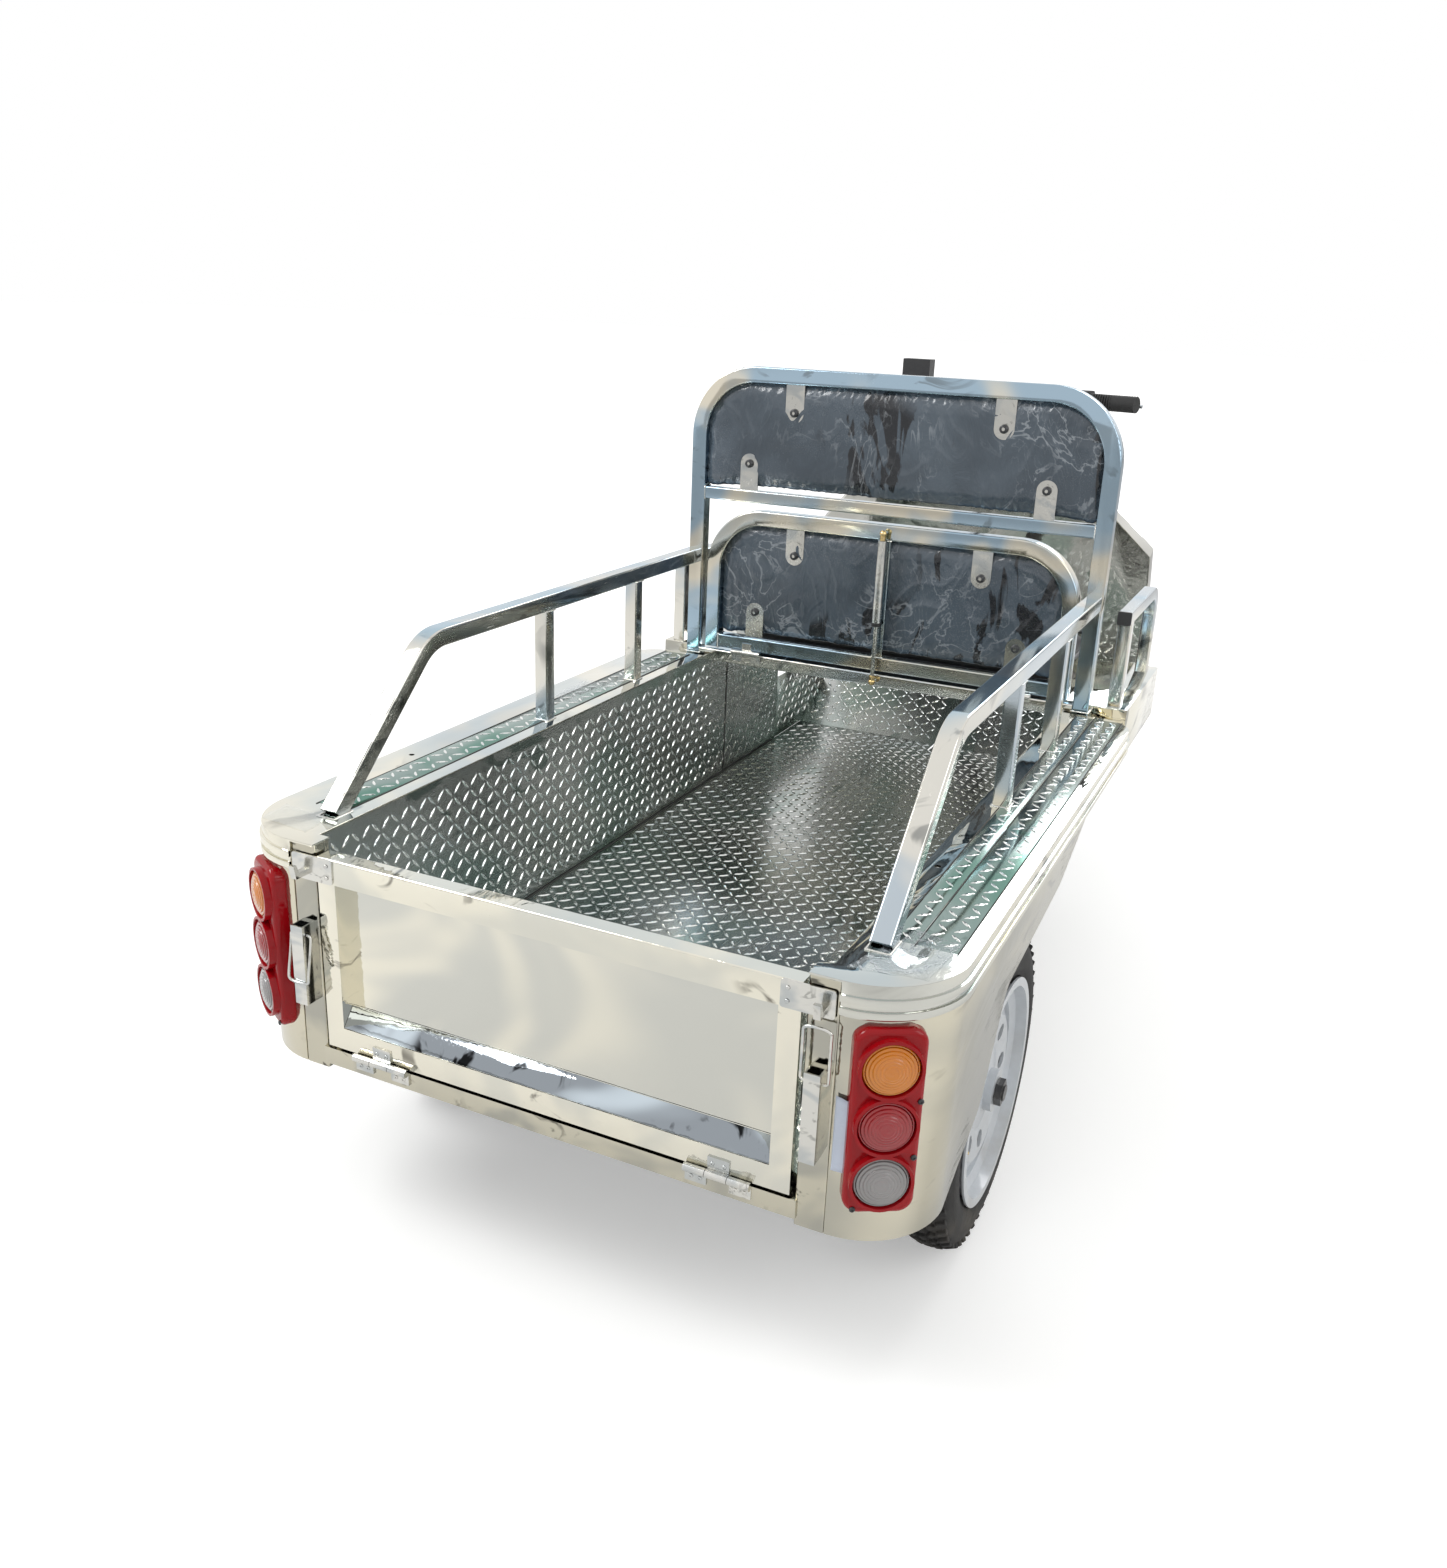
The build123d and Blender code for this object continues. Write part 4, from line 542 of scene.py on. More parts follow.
# Columns: name, surface, colour, second colour, dark colour, dark share, roughness, scale, bump, bump depth
FINISHES = (
    # In every metal finish, colour, second and dark colours are painted reflections, and the sky share
    # paints a blue sky reflection on faces that look up
    Finish("stainless_mirror", Surface.SHEET, STEEL_AND_WARM_REFLECTION, (0.62, 0.62, 0.575), (0.14, 0.135, 0.115), 0.8,
           0.035, 2.1, 0.22, 0.016, painted_sky=0.4),
    # Lighter copy of the polished stainless for the tailgate, with more painted dark reflection
    Finish("gate_mirror", Surface.SHEET, STEEL_AND_WARM_REFLECTION, (0.70, 0.69, 0.62), (0.07, 0.06, 0.05), 1.0, 0.035,
           3.3, 0.22, 0.016, painted_sky=0.3),
    # Darker copy of the polished stainless for the rear posts: painted darker reflections
    Finish("post_steel", Surface.SHEET, (0.58, 0.55, 0.45), (0.42, 0.41, 0.36), (0.10, 0.095, 0.08), 0.9,
           0.05, 5.0, 0.15, 0.006),
    # Darker copy of the polished stainless for the side panels: painted darker reflections
    Finish("side_mirror", Surface.SHEET, (0.66, 0.62, 0.50), (0.48, 0.465, 0.40), (0.16, 0.15, 0.12), 1.0,
           0.035, 2.4, 0.22, 0.016, painted_sky=0.4),
    # Bluish copy of the polished tube for the hoops: painted sky reflection
    Finish("hoop_tube", Surface.TUBE, (0.35, 0.46, 0.55), (0.70, 0.65, 0.54), (0.13, 0.15, 0.16), 0.7, 0.10,
           2.6, 0.05, 0.003, painted_sky=0.85),
    Finish("shield_steel", Surface.SHEET, (0.70, 0.69, 0.65), (0.52, 0.515, 0.485), (0.26, 0.26, 0.24),
           0.35, 0.05, 1.7, 0.2, 0.01),
    # Sill band: painted bluish sky reflection and near-black dark reflection
    Finish("sill_mirror", Surface.SHEET, (0.30, 0.33, 0.36), (0.62, 0.70, 0.76), (0.012, 0.013, 0.014), 1.0,
           0.03, 4.2, 0.2, 0.01),
    Finish("stainless_tube", Surface.TUBE, (0.72, 0.70, 0.64), (0.50, 0.56, 0.61), (0.16, 0.17, 0.17), 0.7,
           0.10, 2.6, 0.05, 0.003, painted_sky=0.85),
    Finish("stainless_small", Surface.TUBE, (0.70, 0.69, 0.65), (0.52, 0.54, 0.54), (0.12, 0.12, 0.11), 0.5,
           0.16, 12.0, 0.10, 0.001),
    # Greenish tones of the tread plate and the deck strips are painted green reflections
    Finish("tread_plate", Surface.TREAD, (0.50, 0.515, 0.50), (0.33, 0.40, 0.37), (0.06, 0.13, 0.10), 0.6,
           0.20, 3.2, 0.15, 0.003),
    Finish("deck_tread", Surface.TREAD, (0.30, 0.38, 0.36), (0.16, 0.30, 0.25), (0.03, 0.09, 0.07), 0.8,
           0.16, 6.0, 0.15, 0.003),
    # Lugs: a brighter copy of the plate's steel, a painted highlight on their raised crowns
    Finish("tread_lug", Surface.TREAD, (0.86, 0.87, 0.85), (0.66, 0.70, 0.70), (0.3, 0.34, 0.32), 0.3, 0.10,
           6.0, 0.05, 0.0005),
    Finish("brass", Surface.CAST, (0.72, 0.55, 0.28), (0.62, 0.47, 0.22), (0.2, 0.15, 0.07), 0.3, 0.25,
           30.0, 0.1, 0.0004),
    Finish("cast_aluminium", Surface.CAST, (0.55, 0.55, 0.56), (0.46, 0.46, 0.47), (0.2, 0.2, 0.2), 0.4,
           0.42, 40.0, 0.25, 0.0006, dust=0.35),
    Finish("fork_chrome", Surface.TUBE, (0.78, 0.78, 0.79), (0.62, 0.66, 0.70), (0.12, 0.12, 0.13), 0.5,
           0.06, 8.0, 0.05, 0.001, dust=0.2),
    Finish("rim_silver", Surface.PAINT, (0.60, 0.63, 0.66), (0.50, 0.53, 0.56), roughness=0.28, scale=900.0,
           bump=0.05, bump_depth=0.0001,
           coat=0.5, dust=0.45, dust_top=0.4),
    Finish("black_paint", Surface.PAINT, (0.018, 0.018, 0.02), (0.035, 0.035, 0.036), roughness=0.38,
           scale=600.0, bump=0.10,
           bump_depth=0.0002, coat=0.3, dust=0.5),
    Finish("black_plastic", Surface.PLASTIC, (0.022, 0.022, 0.024), (0.035, 0.035, 0.037), roughness=0.46,
           scale=1400.0, bump=0.25,
           bump_depth=0.0002),
    Finish("black_bolt", Surface.PAINT, (0.02, 0.021, 0.024), (0.05, 0.052, 0.056), roughness=0.34,
           scale=1500.0, bump=0.1, bump_depth=0.0001),
    Finish("grip_rubber", Surface.RUBBER, (0.02, 0.02, 0.02), (0.032, 0.032, 0.032), roughness=0.72,
           scale=1800.0, bump=0.3, bump_depth=0.0002),
    Finish("tyre", Surface.RUBBER, (0.016, 0.016, 0.017), (0.032, 0.031, 0.03), roughness=0.68, scale=900.0,
           bump=0.25, bump_depth=0.0003,
           dust=0.15, dust_top=0.3, specular=0.3),
    Finish("lamp_red", Surface.PLASTIC, (0.36, 0.002, 0.006), (0.27, 0.001, 0.004), roughness=0.14,
           scale=300.0, bump=0.02,
           bump_depth=0.0001, coat=0.0, specular=0.30),
    Finish("lens_amber", Surface.LENS, (1.0, 0.40, 0.0), (0.80, 0.17, 0.0), roughness=0.06, scale=60.0,
           bump=0.1, bump_depth=0.0003, coat=0.9),
    Finish("lens_red", Surface.LENS, (0.60, 0.002, 0.010), (0.34, 0.0, 0.004), roughness=0.06, scale=60.0,
           bump=0.1, bump_depth=0.0003, coat=0.9),
    Finish("lens_clear", Surface.LENS, (0.58, 0.57, 0.56), (0.22, 0.22, 0.22), roughness=0.06, scale=60.0,
           bump=0.1, bump_depth=0.0003, coat=0.9),
    Finish("black_vinyl", Surface.VINYL, (0.022, 0.022, 0.025), (0.034, 0.034, 0.037), roughness=0.42,
           scale=420.0, bump=0.35,
           bump_depth=0.0004, coat=0.15),
    Finish("wrapped_board", Surface.WRAP, (0.078, 0.102, 0.128), (0.044, 0.060, 0.078),
           (0.006, 0.008, 0.012), 0.5, 0.24, 7.0, 0.55, 0.004,
           coat=0.5),
    Finish("clear_film", Surface.FILM, (0.80, 0.84, 0.86), (0.70, 0.76, 0.78), (0.6, 0.66, 0.7), 0.5, 0.10,
           22.0, 0.8, 0.002, coat=0.6, alpha=0.10),
    Finish("blue_film", Surface.PAINT, (0.55, 0.66, 0.82), (0.72, 0.78, 0.88), roughness=0.30, scale=60.0,
           bump=0.3, bump_depth=0.0006, coat=0.3),
    Finish("seam_shadow", Surface.PAINT, (0.05, 0.05, 0.045), (0.08, 0.08, 0.075), roughness=0.7,
           scale=800.0, bump=0.1, bump_depth=0.0001),
)
FINISH_OF_NODE = {
    "tailgate_frame": "gate_mirror",
    "rear_frame": "post_steel",
    "leg_shield": "shield_steel",
    "nose_cowl": "shield_steel",
    "side_panel_left": "side_mirror",
    "side_panel_right": "side_mirror",
    "fold_hoop": "hoop_tube",
    "seat_hoop": "hoop_tube",
}


class Shop:
    """The shared bench: materials, effect groups and the small tools that make meshes."""

    merge_distance = 2e-5
    flat_angle = math.radians(0.6)
    crease_angle = math.radians(48)

    def __init__(self) -> None:
        """Builds every effect group and every finish."""
        self.effects = make_effects()
        self.materials = {finish.name: finish.build(self.effects) for finish in FINISHES}
        self.slots = {part["node"]: part["material_slot"] for part in frame["record"]["subparts"]}
        self.body_of = {node: body for body, nodes in frame["record"]["behaviour"]["bodies"].items()
                        for node in nodes}
        self.scatter = make_scatter_tree()
        self.ring = make_ring_tree()
        self.row = make_row_tree()
        self.coil = make_coil_tree()

    def piece(self, name: str, mesh: bpy.types.Mesh, finish: str | None, body: str, slot: str,
              replaces: Iterable[str] = ()) -> bpy.types.Object:
        """Puts a finished mesh on a body.

        Args:
            name: The piece's name.
            mesh: Its mesh, placed in the frame.
            finish: The finish's name, or None where the mesh has its own.
            body: The CAD body it rides on.
            slot: The record's material slot; not used.
            replaces: CAD nodes it stands for.

        Returns:
            The piece.
        """
        mesh.name = name
        if finish is not None:
            mesh.materials.clear()
            mesh.materials.append(self.materials[finish])
        made = bpy.data.objects.new(name, mesh)
        bpy.context.scene.collection.objects.link(made)
        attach(made, body)
        for node in replaces:
            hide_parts(node)
        LOG.info("%s on %s: %d faces", name, body, len(mesh.polygons))
        return made

    def dress_node(self, node: str, finish: str) -> None:
        """Gives a CAD node its finish.

        Args:
            node: The CAD node.
            finish: The finish's name.
        """
        item = frame["nodes"][node]
        for index in range(len(item.material_slots)):
            item.material_slots[index].link = "OBJECT"
            item.material_slots[index].material = self.materials[finish]

    def refined(self, node: str, finish: str, bevel: float = 0.0008,
                angle: float = 34.0) -> bpy.types.Object:
        """A copy of a CAD node with merged facets, rounded edges and smooth bends.

        Args:
            node: The CAD node.
            finish: The finish's name.
            bevel: Width of the rounded edges.
            angle: Edges sharper than this are rounded, degrees.

        Returns:
            The piece that replaces the node.
        """
        work = bmesh.new()
        work.from_mesh(frame["nodes"][node].data)
        bmesh.ops.remove_doubles(work, verts=work.verts, dist=self.merge_distance)
        bmesh.ops.dissolve_limit(work, angle_limit=self.flat_angle, verts=work.verts, edges=work.edges)
        sharp = math.radians(angle)
        if bevel > 0:
            edges = [edge for edge in work.edges if edge.calc_length() > bevel
                     and len(edge.link_faces) == 2 and edge.calc_face_angle(0) > sharp]
            bmesh.ops.bevel(work, geom=edges, offset=bevel, segments=2, profile=0.6, affect="EDGES",
                            clamp_overlap=True)
        for face in work.faces:
            face.smooth = True
        for edge in work.edges:
            edge.smooth = len(edge.link_faces) != 2 or edge.calc_face_angle(0) < self.crease_angle
        mesh = bpy.data.meshes.new(node)
        work.to_mesh(mesh)
        work.free()
        return self.piece(f"{node}_finished", mesh, finish, self.body_of[node], self.slots[node], (node,))

    def run_tree(self, tree: bpy.types.NodeTree, base: bpy.types.Mesh,
                 values: dict[str, object]) -> bpy.types.Mesh:
        """Runs a Geometry Nodes tree on a mesh and returns the plain result.

        Args:
            tree: The tree.
            base: The mesh that it starts from.
            values: Inputs by name.

        Returns:
            The realised mesh.
        """
        holder = bpy.data.objects.new("holder", base)
        bpy.context.scene.collection.objects.link(holder)
        modifier = holder.modifiers.new("tree", "NODES")
        modifier.node_group = tree
        for item in tree.interface.items_tree:
            if item.item_type == "SOCKET" and item.in_out == "INPUT" and item.name in values:
                modifier[item.identifier] = values[item.name]
        depsgraph = bpy.context.evaluated_depsgraph_get()
        mesh = bpy.data.meshes.new_from_object(holder.evaluated_get(depsgraph),
                                               preserve_all_data_layers=True, depsgraph=depsgraph)
        bpy.data.objects.remove(holder)
        return mesh

    def repeated(self, tree: bpy.types.NodeTree, shape: bpy.types.Mesh, base: bpy.types.Mesh, finish: str,
                 values: dict[str, object]) -> bpy.types.Mesh:
        """Runs a tree that copies a small shape over a mesh.

        Args:
            tree: The tree.
            shape: The small shape.
            base: The mesh that says where the copies go.
            finish: The finish's name.
            values: The tree's other inputs by name.

        Returns:
            One mesh with all the copies.
        """
        pattern = bpy.data.objects.new("pattern", shape)
        bpy.context.scene.collection.objects.link(pattern)
        made = self.run_tree(tree, base, {"Shape": pattern, "Finish": self.materials[finish], **values})
        bpy.data.objects.remove(pattern)
        return made

    def scattered(self, shape: bpy.types.Mesh, spots: Sequence[Spot], finish: str, jitter: float = 0.0,
                  seed: int = 7) -> bpy.types.Mesh:
        """Copies a shape to many spots.

        Args:
            shape: The small shape, modelled round the origin with Z outward.
            spots: Place and Euler turn of each copy.
            finish: The finish's name.
            jitter: Largest random turn about their own Z, radians.
            seed: Seed of the random turn.

        Returns:
            One mesh with all the copies.
        """
        base = bpy.data.meshes.new("spots")
        base.from_pydata([place for place, _ in spots], [], [])
        turns = base.attributes.new("turn", "FLOAT_VECTOR", "POINT")
        turns.data.foreach_set("vector", [value for _, turn in spots for value in turn])
        return self.repeated(self.scatter, shape, base, finish,
                             {"Scale": 1.0, "Jitter": jitter, "Seed": seed})


def geometry_tree(name: str, inputs: Sequence[tuple[str, str]]) -> tuple[Graph, dict, bpy.types.Node]:
    """Starts a Geometry Nodes tree with named inputs.

    Args:
        name: The tree's name.
        inputs: Name and socket type of each input after the geometry.

    Returns:
        The graph, its input sockets by name, and the output node.
    """
    tree = bpy.data.node_groups.new(name, "GeometryNodeTree")
    tree.is_modifier = True
    tree.interface.new_socket("Geometry", in_out="INPUT", socket_type="NodeSocketGeometry")
    for title, kind in inputs:
        tree.interface.new_socket(title, in_out="INPUT", socket_type=kind)
    tree.interface.new_socket("Geometry", in_out="OUTPUT", socket_type="NodeSocketGeometry")
    graph = Graph(tree)
    entry = graph.add("NodeGroupInput")
    leave = graph.add("NodeGroupOutput")
    return graph, {socket.name: socket for socket in entry.outputs if socket.name}, leave


def end_tree(graph: Graph, leave: bpy.types.Node, geometry: Value, finish: Value,
             smooth: bool = True) -> bpy.types.NodeTree:
    """Ends a tree in Realize Instances, shading and Set Material.

    Args:
        graph: The tree's graph.
        leave: Its output node.
        geometry: The geometry so far.
        finish: The material socket.
        smooth: Whether faces are shaded smooth.

    Returns:
        The finished tree.
    """
    real = graph.add("GeometryNodeRealizeInstances", Geometry=geometry).outputs[0]
    shade = graph.add("GeometryNodeSetShadeSmooth", Geometry=real)
    shade.inputs["Shade Smooth"].default_value = smooth
    dressed = graph.add("GeometryNodeSetMaterial", Geometry=shade.outputs[0], Material=finish)
    graph.feed(leave.inputs[0], dressed.outputs[0])
    return graph.tree


FLOAT = "NodeSocketFloat"
WHOLE = "NodeSocketInt"
SHAPE = ("Shape", "NodeSocketObject")
FINISH = ("Finish", "NodeSocketMaterial")


def make_scatter_tree() -> bpy.types.NodeTree:
    """Copies a shape to every vertex, turned by the vertex's own attribute.

    Returns:
        The tree.
    """
    graph, sockets, leave = geometry_tree(
        "scatter", (SHAPE, ("Scale", FLOAT), ("Jitter", FLOAT), ("Seed", WHOLE), FINISH))
    shape = graph.add("GeometryNodeObjectInfo", Object=sockets["Shape"]).outputs["Geometry"]
    turn = graph.add("GeometryNodeInputNamedAttribute", {"data_type": "FLOAT_VECTOR"}, Name="turn")
    euler = graph.add("FunctionNodeEulerToRotation", Euler=turn.outputs["Attribute"])
    spin = graph.add("FunctionNodeRandomValue", {"data_type": "FLOAT"}, Seed=sockets["Seed"])
    spin_low, spin_high = [socket for socket in spin.inputs if socket.type == "VALUE"
                           and socket.name in ("Min", "Max")]
    graph.feed(spin_low, graph.math("MULTIPLY", sockets["Jitter"], -1.0))
    graph.feed(spin_high, sockets["Jitter"])
    amount = [socket for socket in spin.outputs if socket.type == "VALUE"][0]
    extra = graph.add("FunctionNodeAxisAngleToRotation", Axis=(0.0, 0.0, 1.0), Angle=amount)
    both = graph.add("FunctionNodeRotateRotation", {"rotation_space": "LOCAL"}, Rotation=euler.outputs[0],
                     Rotate_By=extra.outputs[0])
    copies = graph.add("GeometryNodeInstanceOnPoints", Points=sockets["Geometry"], Instance=shape,
                       Rotation=both.outputs[0])
    graph.feed(copies.inputs["Scale"], sockets["Scale"])
    return end_tree(graph, leave, copies.outputs[0], sockets["Finish"])


def make_ring_tree() -> bpy.types.NodeTree:
    """Copies a shape evenly round the X axis, at a radius.

    Returns:
        The tree.
    """
    graph, sockets, leave = geometry_tree(
        "ring", (SHAPE, ("Count", WHOLE), ("Radius", FLOAT), ("Start", FLOAT), FINISH))
    shape = graph.add("GeometryNodeObjectInfo", Object=sockets["Shape"]).outputs["Geometry"]
    line = graph.add("GeometryNodeMeshLine", {"mode": "OFFSET"}, Count=sockets["Count"],
                     Offset=(0.0, 0.0, 0.0))
    index = graph.add("GeometryNodeInputIndex").outputs[0]
    step = graph.math("DIVIDE", math.tau, sockets["Count"])
    angle = graph.math("ADD", graph.math("MULTIPLY", index, step), sockets["Start"])
    side = graph.math("MULTIPLY", graph.math("SINE", angle),
                      graph.math("MULTIPLY", sockets["Radius"], -1.0))
    rise = graph.math("MULTIPLY", graph.math("COSINE", angle), sockets["Radius"])
    place = graph.add("ShaderNodeCombineXYZ", Y=side, Z=rise).outputs[0]
    points = graph.add("GeometryNodeSetPosition", Geometry=line.outputs[0], Position=place).outputs[0]
    turn = graph.add("FunctionNodeAxisAngleToRotation", Axis=(1.0, 0.0, 0.0), Angle=angle)
    copies = graph.add("GeometryNodeInstanceOnPoints", Points=points, Instance=shape,
                       Rotation=turn.outputs[0])
    return end_tree(graph, leave, copies.outputs[0], sockets["Finish"], smooth=False)


def make_row_tree() -> bpy.types.NodeTree:
    """Copies a shape along a polyline at an even spacing, turned along it.

    Returns:
        The tree.
    """
    graph, sockets, leave = geometry_tree("row", (SHAPE, ("Spacing", FLOAT), ("Scale", FLOAT), FINISH))
    shape = graph.add("GeometryNodeObjectInfo", Object=sockets["Shape"]).outputs["Geometry"]
    curve = graph.add("GeometryNodeMeshToCurve", Mesh=sockets["Geometry"]).outputs[0]
    spaced = graph.add("GeometryNodeResampleCurve", {"mode": "LENGTH"}, Curve=curve,
                       Length=sockets["Spacing"])
    along = graph.add("GeometryNodeInputTangent").outputs[0]
    turn = graph.add("FunctionNodeAlignRotationToVector", {"axis": "X"}, Vector=along)
    copies = graph.add("GeometryNodeInstanceOnPoints", Points=spaced.outputs[0], Instance=shape,
                       Rotation=turn.outputs[0])
    graph.feed(copies.inputs["Scale"], sockets["Scale"])
    return end_tree(graph, leave, copies.outputs[0], sockets["Finish"])


def make_coil_tree() -> bpy.types.NodeTree:
    """A coil spring about Z: turns, radius, height and wire.

    Returns:
        The tree.
    """
    graph, sockets, leave = geometry_tree(
        "coil", (("Turns", FLOAT), ("Radius", FLOAT), ("Height", FLOAT), ("Wire", FLOAT), FINISH))
    spiral = graph.add(
        "GeometryNodeCurveSpiral", Resolution=20, Rotations=sockets["Turns"],
        Start_Radius=sockets["Radius"],
        End_Radius=sockets["Radius"], Height=sockets["Height"])
    wire = graph.add("GeometryNodeCurvePrimitiveCircle", Resolution=8, Radius=sockets["Wire"])
    made = graph.add("GeometryNodeCurveToMesh", Curve=spiral.outputs[0], Profile_Curve=wire.outputs[0])
    made.inputs["Fill Caps"].default_value = True
    return end_tree(graph, leave, made.outputs[0], sockets["Finish"])


def mesh_of(name: str, verts: Sequence, faces: Sequence, smooth: bool = False) -> bpy.types.Mesh:
    """A mesh from points and faces, with its normals made to point outward.

    Args:
        name: The mesh's name.
        verts: Points.
        faces: Faces as indexes of points.
        smooth: Whether it is shaded smooth.

    Returns:
        The mesh.
    """
    mesh = bpy.data.meshes.new(name)
    mesh.from_pydata([tuple(vert) for vert in verts], [], faces)
    work = bmesh.new()
    work.from_mesh(mesh)
    bmesh.ops.remove_doubles(work, verts=work.verts, dist=1e-6)
    bmesh.ops.recalc_face_normals(work, faces=work.faces)
    for face in work.faces:
        face.smooth = smooth
    for edge in work.edges:
        edge.smooth = len(edge.link_faces) != 2 or edge.calc_face_angle(0) < math.radians(40)
    work.to_mesh(mesh)
    work.free()
    return mesh


def one_point() -> bpy.types.Mesh:
    """A mesh of one vertex, for trees that make their own points."""
    base = bpy.data.meshes.new("start")
    base.from_pydata([(0, 0, 0)], [], [])
    return base


def lathe(profile: Sequence[tuple[float, float]], steps: int = 32) -> bpy.types.Mesh:
    """Turns a profile about Z into a closed shape.

    Args:
        profile: Radius and height pairs from one pole to the other.
        steps: Faces round the axis.

    Returns:
        The mesh, round the origin.
    """
    verts, faces = [], []
    for radius, height in profile:
        for step in range(steps):
            angle = math.tau * step / steps
            verts.append((radius * math.cos(angle), radius * math.sin(angle), height))
    for ring in range(len(profile) - 1):
        for step in range(steps):
            after = (step + 1) % steps
            faces.append((ring * steps + step, ring * steps + after, (ring + 1) * steps + after,
                          (ring + 1) * steps + step))
    closed_ring = profile[0] == profile[-1]
    if not closed_ring:
        faces.append(tuple(range(steps)))
        faces.append(tuple((len(profile) - 1) * steps + step for step in range(steps)))
    return mesh_of("lathe", verts, faces, smooth=True)


def block(size: Sequence[float], bevel: float = 0.0, segments: int = 2) -> bpy.types.Mesh:
    """A block with rounded edges, round the origin.

    Args:
        size: Its length on X, Y and Z.
        bevel: Radius of its edges.
        segments: Steps across each rounded edge.

    Returns:
        The mesh.
    """
    work = bmesh.new()
    bmesh.ops.create_cube(work, size=1.0, matrix=Matrix.Diagonal((*size, 1.0)))
    if bevel:
        bmesh.ops.bevel(work, geom=list(work.edges), offset=bevel, segments=segments, profile=0.5,
                        affect="EDGES")
    for face in work.faces:
        face.smooth = True
    mesh = bpy.data.meshes.new("block")
    work.to_mesh(mesh)
    work.free()
    return mesh


def placed(mesh: bpy.types.Mesh, where: Sequence[float],
           turn: Sequence[float] = (0, 0, 0)) -> bpy.types.Mesh:
    """Moves a mesh's points to their place.

    Args:
        mesh: The mesh.
        where: Its new origin.
        turn: Euler turn, radians.

    Returns:
        The same mesh.
    """
    mesh.transform(Matrix.Translation(where) @ Euler(turn).to_matrix().to_4x4())
    return mesh


def joined(meshes: Sequence[bpy.types.Mesh]) -> bpy.types.Mesh:
    """One mesh out of several.

    Args:
        meshes: The meshes; they are removed.

    Returns:
        The joined mesh.
    """
    work = bmesh.new()
    for mesh in meshes:
        work.from_mesh(mesh)
        bpy.data.meshes.remove(mesh)
    made = bpy.data.meshes.new("joined")
    work.to_mesh(made)
    work.free()
    return made


def side_points(node: str, side: Side) -> list[Vector]:
    """The points of a CAD node that lie on one side of the vehicle.

    Args:
        node: The CAD node.
        side: The vehicle's side.

    Returns:
        Copies of its points.
    """
    vertices = frame["nodes"][node].data.vertices
    return [vert.co.copy() for vert in vertices if vert.co.x * side.value > 0]


def wire_tube(points: Sequence[Sequence[float]], radius: float, closed: bool = False, smooth: bool = True,
              sides: int = 3) -> bpy.types.Mesh:
    """A round wire or tube through points.

    Args:
        points: Places in order.
        radius: Its radius.
        closed: Whether it runs back to its first point.
        smooth: Whether the run is a NURBS curve or straight runs.
        sides: Bevel resolution.

    Returns:
        The mesh.
    """
    curve = bpy.data.curves.new("wire", "CURVE")
    curve.dimensions = "3D"
    curve.bevel_depth = radius
    curve.bevel_resolution = sides
    curve.use_fill_caps = True
    curve.resolution_u = 10
    spline = curve.splines.new("NURBS" if smooth else "POLY")
    spline.points.add(len(points) - 1)
    for point, place in zip(spline.points, points):
        point.co = (*place, 1.0)
    spline.use_cyclic_u = closed
    if smooth:
        spline.order_u = 3
        spline.use_endpoint_u = not closed
    holder = bpy.data.objects.new("wire", curve)
    bpy.context.scene.collection.objects.link(holder)
    mesh = bpy.data.meshes.new_from_object(holder.evaluated_get(bpy.context.evaluated_depsgraph_get()))
    bpy.data.objects.remove(holder)
    for face in mesh.polygons:
        face.use_smooth = True
    return mesh


def hex_bolt(across: float, rise: float) -> bpy.types.Mesh:
    """A small bolt head with a chamfered crown and a washer, Z outward.

    Args:
        across: Width across the corners.
        rise: Height above the seat.

    Returns:
        The mesh.
    """
    rings = ((0.62, 0.0), (0.62, 0.12), (0.5, 0.16), (0.5, 0.8), (0.40, 1.0))
    return lathe([(across * radius, rise * height) for radius, height in rings], 6)


def dome_head(diameter: float, rise: float, socket: bool = True) -> bpy.types.Mesh:
    """A round bolt or rivet head, with a socket in its crown where it has one, Z outward.

    Args:
        diameter: Its width.
        rise: Its height.
        socket: Whether it has a hollow for the key.

    Returns:
        The mesh.
    """
    half = diameter / 2
    profile = [(half, 0.0), (half, rise * 0.35), (half * 0.86, rise * 0.8), (half * 0.6, rise)]
    if socket:
        profile += [(half * 0.40, rise), (half * 0.36, rise * 0.45), (half * 0.05, rise * 0.42)]
    else:
        profile += [(half * 0.05, rise * 1.08)]
    return lathe(profile, 14)


def tread_lug() -> bpy.types.Mesh:
    """One raised willow-leaf lug of the tread plate, Z outward.

    Returns:
        The mesh.
    """
    half_length, half_width, rise, sink = 12.5 * MM, 3.3 * MM, 1.5 * MM, 0.2 * MM
    taper, crest_length, crest_width = 0.55, 0.62, 0.5
    steps = 10
    rim, crest = [], []
    for step in range(steps):
        angle = math.tau * step / steps
        x = math.cos(angle)
        y = math.sin(angle)
        pinch = 1.0 - taper * x ** 2
        rim.append((half_length * x, half_width * y * pinch, -sink))
        crest.append((half_length * x * crest_length, half_width * y * pinch * crest_width, rise))
    verts = rim + crest
    faces = [(i, (i + 1) % steps, steps + (i + 1) % steps, steps + i) for i in range(steps)]
    faces += [tuple(range(steps, 2 * steps)), tuple(reversed(range(steps)))]
    return mesh_of("lug", verts, faces, smooth=True)


